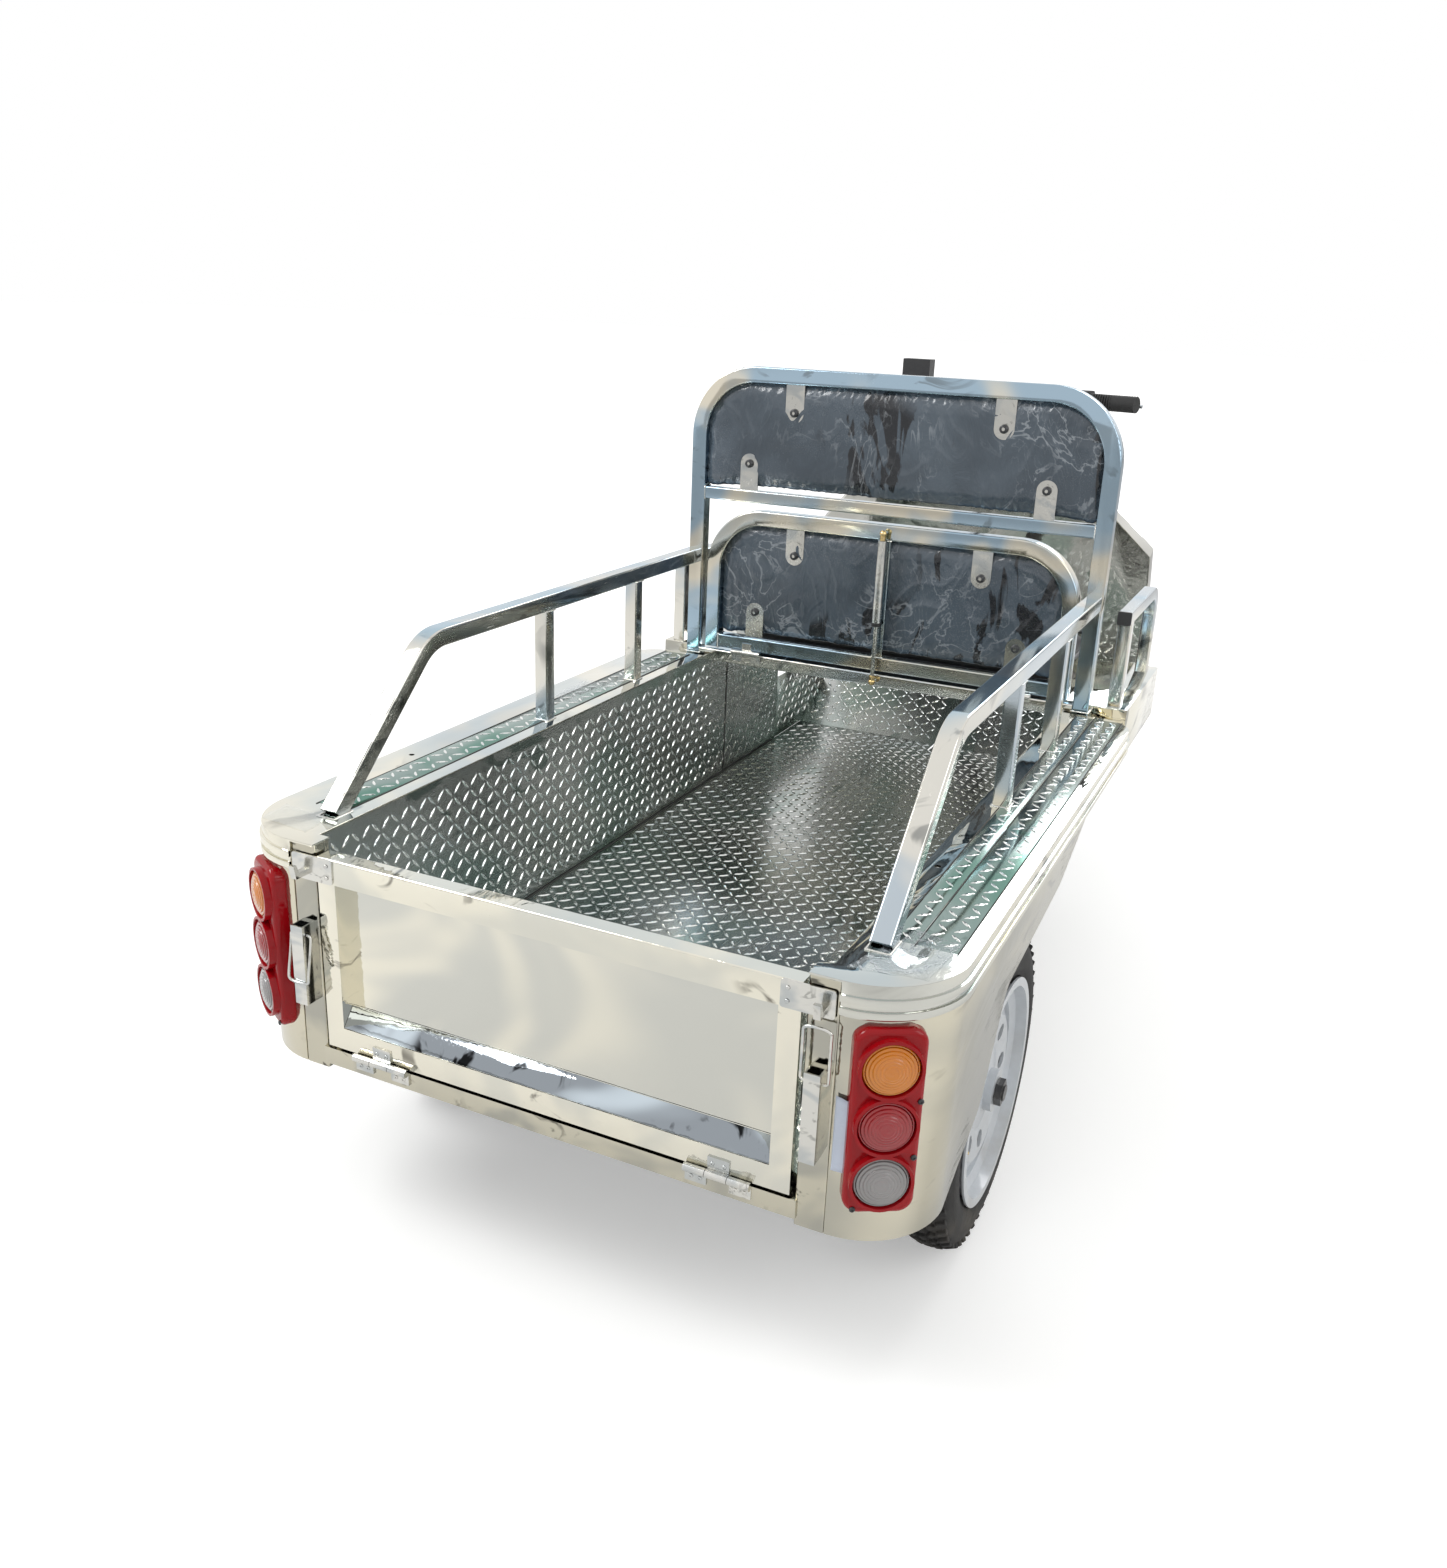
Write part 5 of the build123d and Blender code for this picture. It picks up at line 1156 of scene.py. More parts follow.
@dataclass
class LoadBed:
    """The tread-plate bed: lug fields on floor, walls and decks, and painted seam shadows."""

    shop: Shop
    floor_top: float = 0.305
    half_width: float = 0.372
    deck_top: float = DECK_TOP
    floor_run: tuple[float, float] = (46.0, 1752.0)
    wall_run: tuple[float, float] = (52.0, 1590.0)
    wall_heights: tuple[float, float] = (0.318, 0.578)
    sill_run: tuple[float, float] = (1606.0, 1886.0)
    sill_heights: tuple[float, float] = (0.324, 0.446)
    side_sheet_run: tuple[float, float] = (1600.5, 1912.0)
    side_sheet: float = 0.0035
    toe_start: float = 1760.0
    floor_margin: float = 0.008
    toe_margin: float = 0.012
    tunnel_half: float = 0.042
    pitch: float = 0.0215
    seam_at: float = 1311.0
    deck_run: tuple[float, float] = (130.0, 1170.0)
    left_strip: tuple[float, float] = (-0.452, -0.400)
    right_strips: tuple[tuple[float, float], ...] = ((0.408, 0.434), (0.440, 0.486))
    strip_lap: float = 0.0015
    strip_sheet: float = 0.0008
    seam: tuple[float, float] = (0.0022, 0.0012)
    wall_seam_lap: float = 0.012
    floor_seam: tuple[float, float, float] = (0.3705, 1.53, 815.0)
    deck_seam: tuple[float, float, float] = (0.0014, 1.06, 650.0)
    deck_seams_at: tuple[float, ...] = (-0.3985, -0.4535, 0.4045, 0.4375, 0.4885)

    def build(self) -> None:
        """Makes every piece of the bed."""
        self._floor()
        self._walls()
        self._footwell_sides()
        self._toe_board()
        self._decks()
        self._seams()

    def _grid(self, across: tuple[float, float], along: tuple[float, float], place: Callable,
              facing: Euler) -> list[Spot]:
        """Spots of a lug field, alternately turned.

        Args:
            across: Range of the first coordinate.
            along: Range of the second coordinate.
            place: Gives a point from the two coordinates.
            facing: Turn that takes Z to the sheet's outward side.

        Returns:
            Places and turns.
        """
        spots = []
        columns = max(1, round((across[1] - across[0]) / self.pitch))
        rows = max(1, round((along[1] - along[0]) / self.pitch))
        for column in range(columns):
            for row in range(rows):
                u = across[0] + (column + 0.5) * (across[1] - across[0]) / columns
                v = along[0] + (row + 0.5) * (along[1] - along[0]) / rows
                lean = math.radians(45 if (column + row) % 2 else -45)
                turn = (facing.to_matrix() @ Euler((0, 0, lean)).to_matrix()).to_euler()
                spots.append((place(u, v), tuple(turn)))
        return spots

    @staticmethod
    def _run(span: tuple[float, float]) -> tuple[float, float]:
        """A stretch given in millimetres ahead, as a range of Y."""
        return ahead(span[0]), ahead(span[1])

    def _field(self, name: str, spots: list[Spot], slot: str = "tread_plate") -> None:
        """Makes one lug field and puts it on the chassis."""
        mesh = self.shop.scattered(tread_lug(), spots, "tread_lug", jitter=0.03)
        self.shop.piece(name, mesh, None, "chassis", slot)

    def _floor(self) -> None:
        """Lugs of the bed floor."""
        reach = self.half_width - self.floor_margin
        spots = self._grid((-reach, reach), self._run(self.floor_run), lambda u, v: (u, v, self.floor_top),
                           Euler((0, 0, 0)))
        self._field("bed_floor_lugs", spots)

    def _walls(self) -> None:
        """Lugs of both inner walls."""
        for side in Side:
            x = side.value * self.half_width
            facing = Euler((0, -side.value * math.pi / 2, 0))
            spots = []
            for heights, span in ((self.wall_heights, self.wall_run), (self.sill_heights, self.sill_run)):
                spots += self._grid(heights, self._run(span), lambda u, v, x=x: (x, v, u), facing)
            self._field(f"bed_wall_lugs_{side.name.lower()}", spots)

    def _footwell_sides(self) -> None:
        """Low sheets that close the bed's sides beside the footwell, up to the toe board's top."""
        _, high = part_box("bed_floor")
        run = self._run(self.side_sheet_run)
        height = high[2] - self.floor_top
        plates = []
        for side in (-1.0, 1.0):
            middle = (side * (self.half_width + self.side_sheet / 2), sum(run) / 2,
                      self.floor_top + height / 2)
            plates.append(placed(block((self.side_sheet, run[1] - run[0], height), 0.0005, 1), middle))
        self.shop.piece("footwell_sides", joined(plates), "tread_plate", "chassis", "tread_plate")

    def _toe_board(self) -> None:
        """Lugs of the sloping toe board."""
        _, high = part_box("bed_floor")
        foot, head = (ahead(self.toe_start), self.floor_top), (high[1], high[2])
        length = math.hypot(head[0] - foot[0], head[1] - foot[1])
        lean = math.atan2(head[1] - foot[1], head[0] - foot[0])
        reach = self.half_width - self.toe_margin
        spots = self._grid(
            (-reach, reach), (self.toe_margin, length - self.toe_margin),
            lambda u, v: (u, foot[0] + v * math.cos(lean), foot[1] + v * math.sin(lean)),
            Euler((lean, 0, 0)))
        self._field("toe_board_lugs", [spot for spot in spots if abs(spot[0][0]) > self.tunnel_half])

    def _decks(self) -> None:
        """Tread strips of the decks, and their lugs."""
        run = self._run(self.deck_run)
        strips = (self.left_strip, *self.right_strips)
        plates = []
        for strip in strips:
            width = strip[1] - strip[0] + 2 * self.strip_lap
            middle = (sum(strip) / 2, sum(run) / 2, self.deck_top + self.strip_sheet / 4)
            size = (width, run[1] - run[0] + 0.01, self.strip_sheet)
            plates.append(placed(block(size, self.strip_sheet / 4, 1), middle))
        self.shop.piece("deck_tread_strips", joined(plates), "deck_tread", "chassis", "stainless_mirror")
        for index, strip in enumerate(strips):
            spots = self._grid(strip, run, lambda u, v: (u, v, self.deck_top), Euler((0, 0, 0)))
            self._field(f"deck_lugs_{index + 1}", spots, "stainless_mirror")

    def _seams(self) -> None:
        """Painted seam shadows: dark strips along the sheet seams of the walls, floor and decks, where
        folded sheet lies on sheet.
        """
        wide, thick = self.seam
        height = self.wall_heights[1] - self.floor_top + self.wall_seam_lap
        strips = []
        for side in Side:
            corner_x, length, middle = self.floor_seam
            wall = (side.value * (self.half_width - thick / 2), ahead(self.seam_at),
                    self.floor_top + height / 2)
            corner = (side.value * corner_x, ahead(middle), self.floor_top + thick / 2)
            strips.append(placed(block((thick, wide, height)), wall))
            strips.append(placed(block((wide, length, thick)), corner))
        wide, length, middle = self.deck_seam
        for x in self.deck_seams_at:
            place = (x, ahead(middle), self.deck_top + self.strip_sheet / 2)
            strips.append(placed(block((wide, length, self.strip_sheet)), place))
        self.shop.piece("sheet_seams", joined(strips), "seam_shadow", "chassis", "tread_plate")


@dataclass
class PadShape:
    """One padded piece: the node it stands for, how far it may swell, its fill and its finish."""

    node: str
    body: str
    cap: float
    fill: float
    finish: str
    voxel: float = 0.006
    pressure: float = 4.0


@dataclass
class Upholstery:
    """Seat cushion and the two film-wrapped backrest boards."""

    shop: Shop
    pads: tuple[PadShape, ...] = (
        PadShape("back_pad", "chassis", 0.006, 0.8, "wrapped_board", 0.0055),
        PadShape("fold_pad", "fold_backrest", 0.006, 0.8, "wrapped_board", 0.0055),
        PadShape("seat_cushion", "chassis", 0.022, 0.7, "black_vinyl"),
    )
    frames: int = 20
    quality: int = 4
    stiffness: float = 25.0
    start_share: float = 0.75
    crease: float = 0.0016
    crease_rim: float = 0.045
    edge_reach: float = 0.009
    foot_reach: float = 0.004
    channels_at: tuple[float, ...] = (-0.18, 0.0, 0.18)
    channel_half: float = 0.007
    channel_depth: float = 0.0065
    wrinkle_fade: float = 0.03
    wrinkle_depth: float = 0.0009
    piping_radius: float = 0.0042
    piping_inset: float = 0.006
    piping_drop: float = 0.016
    corner_radius: float = 0.045

    def build(self) -> None:
        """Makes every padded piece and its sewing."""
        for pad in self.pads:
            self._pad(pad)
        self._piping()

    def _pad(self, pad: PadShape) -> None:
        """Swells one pad, creases it and puts it on its body.

        Args:
            pad: What to make.
        """
        mesh = self._swollen(pad)
        if pad.finish == "wrapped_board":
            self._crease_film(mesh)
            self._reach_hoop(mesh, pad)
        else:
            self._sew_channels(mesh)
        made = self.shop.piece(f"{pad.node}_padded", mesh, pad.finish, pad.body, "black_vinyl", (pad.node,))

    def _swollen(self, pad: PadShape) -> bpy.types.Mesh:
        """Inflates a copy of the node's mesh with a short cloth simulation.

        Args:
            pad: What to make.

        Returns:
            The settled mesh.
        """
        work = bmesh.new()
        work.from_mesh(frame["nodes"][pad.node].data)
        bmesh.ops.remove_doubles(work, verts=work.verts, dist=1e-5)
        low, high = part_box(pad.node)
        centre = (Vector(low) + Vector(high)) / 2
        size = Vector(high) - Vector(low)
        margin = pad.cap * self.start_share
        factors = [max(0.5, (length - 2 * margin) / length) for length in size]
        for vert in work.verts:
            vert.co = centre + Vector(offset * factor for offset, factor in zip(vert.co - centre, factors))
        mesh = bpy.data.meshes.new(pad.node)
        work.to_mesh(mesh)
        work.free()
        holder = bpy.data.objects.new("pad", mesh)
        bpy.context.scene.collection.objects.link(holder)
        remesh = holder.modifiers.new("even", "REMESH")
        remesh.mode = "VOXEL"
        remesh.voxel_size = pad.voxel
        self._apply(holder)
        before = [vert.co.copy() for vert in holder.data.vertices]
        self._simulate(holder, pad)
        for vert, start in zip(holder.data.vertices, before):
            move = vert.co - start
            if move.length > pad.cap:
                vert.co = start + move.normalized() * pad.cap
        rounder = holder.modifiers.new("round", "SUBSURF")
        rounder.levels = rounder.render_levels = 1
        self._apply(holder)
        mesh = holder.data
        bpy.data.objects.remove(holder)
        for face in mesh.polygons:
            face.use_smooth = True
        return mesh

    def _simulate(self, holder: bpy.types.Object, pad: PadShape) -> None:
        """Runs Cloth with pressure on a pad and applies it.

        Args:
            holder: The helper object with the pad's mesh.
            pad: What to make.
        """
        cloth = holder.modifiers.new("cloth", "CLOTH")
        cloth.settings.use_pressure = True
        cloth.settings.uniform_pressure_force = pad.pressure
        cloth.settings.effector_weights.gravity = 0.0
        cloth.settings.quality = self.quality
        cloth.settings.tension_stiffness = self.stiffness
        cloth.settings.compression_stiffness = self.stiffness
        scene = bpy.context.scene
        cloth.point_cache.frame_start, cloth.point_cache.frame_end = 1, self.frames
        for number in range(1, self.frames + 1):
            scene.frame_set(number)
        self._apply(holder)
        scene.frame_set(1)

    @staticmethod
    def _apply(holder: bpy.types.Object) -> None:
        """Applies a helper object's modifiers to its mesh."""
        depsgraph = bpy.context.evaluated_depsgraph_get()
        mesh = bpy.data.meshes.new_from_object(holder.evaluated_get(depsgraph))
        holder.modifiers.clear()
        holder.data = mesh

    def _crease_film(self, mesh: bpy.types.Mesh) -> None:
        """Raises the film's folds, sharper towards the rim.

        Args:
            mesh: The swollen board.
        """
        low = Vector(min(vert.co[axis] for vert in mesh.vertices) for axis in range(3))
        high = Vector(max(vert.co[axis] for vert in mesh.vertices) for axis in range(3))
        normals = [vert.normal.copy() for vert in mesh.vertices]
        for vert, normal in zip(mesh.vertices, normals):
            edge = min(vert.co.x - low.x, high.x - vert.co.x, vert.co.z - low.z, high.z - vert.co.z)
            near = max(0.0, 1.0 - edge / self.crease_rim)
            spot = Vector((vert.co.x * 16, 0.0, vert.co.z * 11))
            bent = spot + Vector((noise.noise(spot * 0.6) * 2.2, 3.1, 0.7))
            fold = 1.0 - abs(noise.noise(bent)) * 2.6
            rim = 1.0 - abs(noise.noise(Vector((vert.co.x * 70, 4.0, vert.co.z * 70)))) * 2.0
            rise = max(0.0, fold) ** 3 * 0.8 + max(0.0, rim) ** 2 * near * 0.8
            vert.co += normal * rise * self.crease

    def _reach_hoop(self, mesh: bpy.types.Mesh, pad: PadShape) -> None:
        """Widens a board in its own plane until its edge meets the hoop's tube.

        Args:
            mesh: The board's swollen mesh.
            pad: The board.
        """
        low, high = (Vector(corner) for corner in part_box(pad.node))
        for axis, below in ((0, self.edge_reach), (2, self.foot_reach)):
            start, end = low[axis] - below, high[axis] + self.edge_reach
            found = [vert.co[axis] for vert in mesh.vertices]
            first, last = min(found), max(found)
            for vert in mesh.vertices:
                vert.co[axis] = start + (vert.co[axis] - first) * (end - start) / (last - first)

    def _sew_channels(self, mesh: bpy.types.Mesh) -> None:
        """Presses sewn channels into the cushion's top.

        Args:
            mesh: The swollen cushion.
        """
        rises = [vert.normal.z for vert in mesh.vertices]
        for vert, rise in zip(mesh.vertices, rises):
            if rise < 0.2:
                continue
            gaps = [abs(vert.co.x - line) for line in self.channels_at]
            depth = sum(math.exp(-(gap / self.channel_half) ** 2) for gap in gaps)
            wrinkle = noise.noise(vert.co * 34.0) * math.exp(-min(gaps) / self.wrinkle_fade)
            vert.co.z -= self.channel_depth * min(1.0, depth) + self.wrinkle_depth * wrinkle

    def _piping(self) -> None:
        """Piping round the cushion's top edge."""
        low, high = (Vector(corner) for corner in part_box("seat_cushion"))
        radius, inset = self.corner_radius, self.piping_inset + self.corner_radius
        points = []
        for right, front, start in ((True, True, 0), (False, True, 90), (False, False, 180),
                                    (True, False, 270)):
            x = high.x - inset if right else low.x + inset
            y = high.y - inset if front else low.y + inset
            for step in range(0, 91, 18):
                angle = math.radians(start + step)
                spot = (x + radius * math.cos(angle), y + radius * math.sin(angle),
                        high.z - self.piping_drop)
                points.append(spot)
        rope = wire_tube(points, self.piping_radius, closed=True)
        self.shop.piece("seat_piping", rope, "black_vinyl", "chassis", "black_vinyl")


@dataclass
class TailLamps:
    """Ribbed lenses and screws of the lamps on both rounded corners."""

    shop: Shop
    lens_radius: float = 0.034
    ribs: int = 7
    rim_relief: float = 0.0021
    rib_relief: float = 0.0005
    dome_rise: float = 0.0118
    seat_depth: float = 0.012
    crown: float = 0.0138
    # Lens node, and the screw's place across and above that lens's middle
    screws: tuple[tuple[str, float, float], ...] = (
        ("lamp_lens_red", -0.038, 0.030), ("lamp_lens_red", -0.036, -0.044),
        ("lamp_lens_clear", 0.030, -0.040))
    screw_sink: float = 0.0005

    def build(self) -> None:
        """Makes lenses and screws of both lamps."""
        for colour in ("amber", "red", "clear"):
            self._lens_pair(colour)
        self._screws()

    def _lens_profile(self) -> list[tuple[float, float]]:
        """Profile of a ribbed dome, from its seat to its crown."""
        profile = [(self.lens_radius, -self.seat_depth), (self.lens_radius, 0.0)]
        for rib in range(self.ribs):
            share = rib / self.ribs
            radius = self.lens_radius * (0.97 - 0.80 * share)
            height = self.dome_rise * math.sqrt(max(0.0, 1.0 - (radius / self.lens_radius) ** 2)) + 0.0004
            profile.append((radius, height))
            relief = self.rim_relief if rib == 0 else self.rib_relief
            profile.append((radius - self.lens_radius * 0.040, height + relief))
            profile.append((radius - self.lens_radius * 0.075, height + relief))
            profile.append((radius - self.lens_radius * 0.100, height + 0.0002))
        profile.append((self.lens_radius * 0.02, self.crown))
        return profile

    def _lens_pair(self, colour: str) -> None:
        """Both lenses of one colour, where the CAD node's lenses are.

        Args:
            colour: The lens's colour word.
        """
        node = f"lamp_lens_{colour}"
        meshes = []
        for side in Side:
            centre, outward = lens_axis(node, side)
            tilt = outward.to_track_quat("Z", "Y").to_euler()
            meshes.append(placed(lathe(self._lens_profile(), 36), centre, tilt))
        self.shop.piece(f"{node}_ribbed", joined(meshes), f"lens_{colour}", "chassis", f"lens_{colour}",
                        (node,))

    def _screws(self) -> None:
        """Three dark screws on each lamp housing."""
        spots = []
        for side in Side:
            for node, across, rise in self.screws:
                centre, outward = lens_axis(node, side)
                sideways = Vector((outward.y, -outward.x, 0.0)).normalized() * side.value
                place = centre + sideways * across + Vector((0, 0, rise)) - outward * self.screw_sink
                spots.append((tuple(place), tuple(outward.to_track_quat("Z", "Y").to_euler())))
        mesh = self.shop.scattered(dome_head(0.0075, 0.002), spots, "black_bolt")
        self.shop.piece("lamp_screws", mesh, None, "chassis", "stainless_small")


LENS_YAW = math.radians(30.0)
LENS_STANDING = 0.0142


def lens_axis(node: str, side: Side) -> tuple[Vector, Vector]:
    """Seat centre and outward direction of one lens, from its CAD solid.

    Args:
        node: The lens node.
        side: The vehicle's side.

    Returns:
        A point on the seat and a unit vector.
    """
    points = side_points(node, side)
    centre = sum(points, Vector()) / len(points)
    outward = Vector((side.value * math.sin(LENS_YAW), -math.cos(LENS_YAW), 0.0))
    depth = [(point - centre).dot(outward) for point in points]
    heights = [point.z for point in points]
    middle = Vector((centre.x, centre.y, (min(heights) + max(heights)) / 2))
    sideways = Vector((outward.y, -outward.x, 0.0))
    spread = [(point - centre).dot(sideways) for point in points]
    middle += sideways * (min(spread) + max(spread)) / 2
    return middle + outward * (max(depth) - LENS_STANDING), outward


@dataclass
class Wheel:
    """One wheel: lathed tyre with moulded tread, and the rim's fittings."""

    shop: Shop
    name: str
    body: str
    centre: Point
    outward: int
    radius: float = 0.235
    half_width: float = 0.039
    rim_radius: float = 0.158
    groove: float = 0.006
    blocks: int = 54
    # Each row of tread blocks: place across, width, length, drop, lean, and phase as a share of the pitch
    tread_rows: tuple[tuple[float, ...], ...] = (
        (0.0, 0.010, 0.013, 0.0, 0.4, 0.0), (0.0125, 0.009, 0.011, -0.0006, -0.5, 0.5),
        (-0.0125, 0.009, 0.011, -0.0006, -0.5, 0.0), (0.0265, 0.014, 0.010, -0.0052, 0.18, 0.25),
        (-0.0265, 0.014, 0.010, -0.0052, -0.18, 0.75))
    block_height: float = 0.010
    crown_lean: float = 0.55
    valve_angle: float = math.radians(200)
    valve_length: float = 0.020

    def build(self) -> None:
        """Makes the tyre, its tread, the hub nut and the valve."""
        self._tyre()
        self._tread()
        self._fittings()

    def _tyre(self) -> None:
        """The carcass with sidewall ridges, turned about X."""
        carcass = self.radius - self.groove
        half = self.half_width
        bead = self.rim_radius - 0.002
        side = [
            (bead, half * 0.70), (bead + 0.006, half * 0.80), (bead + 0.012, half * 0.80),
            (bead + 0.014, half * 0.90),
            (bead + 0.020, half * 0.93), (bead + 0.022, half * 0.97), (bead + 0.036, half * 1.0),
            (bead + 0.048, half * 0.985),
            (bead + 0.050, half * 0.955), (carcass - 0.014, half * 0.90), (carcass - 0.005, half * 0.74),
            (carcass, half * 0.40),
        ]
        loop = side + [(radius, -width) for radius, width in reversed(side)]
        inner = [(bead + 0.004, -half * 0.58), (carcass - 0.014, -half * 0.70), (carcass - 0.009, 0.0),
                 (carcass - 0.014, half * 0.70), (bead + 0.004, half * 0.58)]
        profile = loop + inner + [loop[0]]
        mesh = placed(lathe(profile, 72), self.centre, (0, math.pi / 2, 0))
        self.shop.piece(f"tyre_{self.name}_moulded", mesh, "tyre", self.body, "tyre",
                        (f"tyre_{self.name}",))

    def _tread(self) -> None:
        """Centre and shoulder blocks round the tyre."""
        meshes = []
        for across, wide, long, drop, lean, phase in self.tread_rows:
            shape = block((wide, long, self.block_height), 0.0012, 1)
            shape.transform(Euler((0, 0, lean)).to_matrix().to_4x4())
            shape.transform(Euler((0, across / self.half_width * self.crown_lean, 0)).to_matrix().to_4x4())
            shape.transform(Matrix.Translation((across, 0, drop - self.block_height / 2)))
            meshes.append(self.shop.repeated(self.shop.ring, shape, one_point(), "tyre", {
                "Count": self.blocks, "Radius": self.radius, "Start": phase * math.tau / self.blocks}))
        tread = placed(joined(meshes), self.centre)
        self.shop.piece(f"tread_{self.name}", tread, "tyre", self.body, "tyre")

    def _fittings(self) -> None:
        """Hub nut and valve on the rim's outer side."""
        low, high = (Vector(corner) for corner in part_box(f"rim_{self.name}"))
        face = high.x if self.outward > 0 else low.x
        turn = (0, self.outward * math.pi / 2, 0)
        nut = placed(hex_bolt(0.026, 0.010), (face - self.outward * 0.001, self.centre[1], self.centre[2]),
                     turn)
        self.shop.piece(f"hub_nut_{self.name}", nut, "stainless_small", self.body, "stainless_small")
        spoke = Vector((0.0, math.cos(self.valve_angle), math.sin(self.valve_angle)))
        root = Vector(self.centre) + spoke * (self.rim_radius
                                              - 0.030) + Vector((self.outward * 0.012, 0, 0))
        tip = root - spoke * 0.012 + Vector((self.outward * self.valve_length, 0, 0))
        stem = wire_tube((root, tip), 0.003, smooth=False)
        self.shop.piece(f"valve_{self.name}", stem, "brass", self.body, "rim_silver")


@dataclass
class Latches:
    """Wire bails of the toggle latches, with round bends."""

    shop: Shop
    wire: float = 0.002
    bend: float = 0.008
    tail: float = 0.006
    end_reach: float = 0.004

    def build(self) -> None:
        """Makes both bails in place of the CAD rings."""
        meshes = []
        for side in Side:
            points = [vert.co for vert in frame["nodes"]["latch_rings"].data.vertices
                      if vert.co.x * side.value > 0]
            low = [min(point[axis] for point in points) for axis in range(3)]
            high = [max(point[axis] for point in points) for axis in range(3)]
            hanging = side is Side.LEFT
            pivot_z, end_z = (high[2], low[2]) if hanging else (low[2], high[2])
            step = 1.0 if end_z > pivot_z else -1.0
            pivot_z += step * self.wire
            end_z -= step * self.wire
            near = [point.y for point in points if abs(point.z - pivot_z) < self.end_reach]
            far = [point.y for point in points if abs(point.z - end_z) < self.end_reach]
            pivot_y, end_y = (min(near) + max(near)) / 2, (min(far) + max(far)) / 2
            left, right = low[0] + self.wire, high[0] - self.wire
            middle = ((pivot_y + end_y) / 2, (pivot_z + end_z) / 2)
            leg = [(pivot_y, pivot_z), (pivot_y, pivot_z + step * self.bend), middle,
                   (end_y, end_z - step * 1.5 * self.bend), (end_y, end_z)]
            path = [(left + self.tail, pivot_y, pivot_z)]
            path += [(left, y, z) for y, z in leg]
            path += [(right, y, z) for y, z in reversed(leg)]
            path += [(right - self.tail, pivot_y, pivot_z)]
            meshes.append(wire_tube(path, self.wire))
        self.shop.piece("latch_bails", joined(meshes), "stainless_small", "chassis", "stainless_small",
                        ("latch_rings",))


def middle_of(node: str) -> Point:
    """The middle of a CAD node's box."""
    low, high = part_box(node)
    return tuple((a + b) / 2 for a, b in zip(low, high))


def crown_spots(node: str, axis: int = 1, sign: int = -1, depth: float = 0.0006,
                reach: float = 0.02) -> list[Vector]:
    """Middles of the faces that stand furthest out of a CAD node, such as its bolt heads.

    Args:
        node: The CAD node.
        axis: 0, 1 or 2 for X, Y or Z.
        sign: Which way is out.
        depth: How far behind the furthest point still counts.
        reach: Points nearer than this belong together.

    Returns:
        One point for each crown.
    """
    points = [vert.co.copy() for vert in frame["nodes"][node].data.vertices]
    furthest = max(point[axis] * sign for point in points)
    groups: list[list[Vector]] = []
    for point in (point for point in points if point[axis] * sign > furthest - depth):
        for group in groups:
            if (group[0] - point).length < reach:
                group.append(point)
                break
        else:
            groups.append([point])
    return [Vector((min(p[i] for p in group) + max(p[i] for p in group)) / 2 for i in range(3))
            for group in groups]


def rod_ends(node: str, side: Side) -> tuple[Vector, Vector]:
    """Inner and outer end centres of a CAD rod on one side.

    Args:
        node: The CAD node with one rod on each side.
        side: The vehicle's side.

    Returns:
        The end nearer the middle, and the outer end.
    """
    points = side_points(node, side)
    points.sort(key=lambda point: abs(point.x))
    count = max(4, len(points) // 12)
    inner, outer = points[:count], points[-count:]
    return sum(inner, Vector()) / count, sum(outer, Vector()) / count


def crumpled_sheet(corners: Sequence[Sequence[float]], lift: float, steps: int = 28,
                   seed: float = 0.0) -> bpy.types.Mesh:
    """A thin crumpled sheet of film between four corners, with torn edges.

    Args:
        corners: Four corners in order.
        lift: Height of the crumples.
        steps: Faces along each side.
        seed: Moves the pattern.

    Returns:
        A closed thin mesh.
    """
    a, b, c, d = (Vector(corner) for corner in corners)
    out = (b - a).cross(d - a).normalized()
    verts, faces = [], []
    for i in range(steps + 1):
        for j in range(steps + 1):
            u, v = i / steps, j / steps
            edge = noise.noise(Vector((u * 5, v * 5, seed))) * 0.05
            u = min(1.0, max(0.0, u + edge * (4 * u * (1 - u) - 0.6)))
            v = min(1.0, max(0.0, v - edge * (4 * v * (1 - v) - 0.6)))
            spot = (a * (1 - u) + b * u) * (1 - v) + (d * (1 - u) + c * u) * v
            coarse = abs(noise.noise(spot * 38.0 + Vector((seed, seed, seed))))
            crumple = coarse + 0.5 * abs(noise.noise(spot * 90.0))
            verts.append(spot + out * (0.0004 + lift * crumple))
    for i in range(steps):
        for j in range(steps):
            k = i * (steps + 1) + j
            faces.append((k, k + steps + 1, k + steps + 2, k + 1))
    mesh = mesh_of("film", verts, faces, smooth=True)
    work = bmesh.new()
    work.from_mesh(mesh)
    bmesh.ops.solidify(work, geom=work.faces, thickness=0.00015)
    work.to_mesh(mesh)
    work.free()
    return mesh


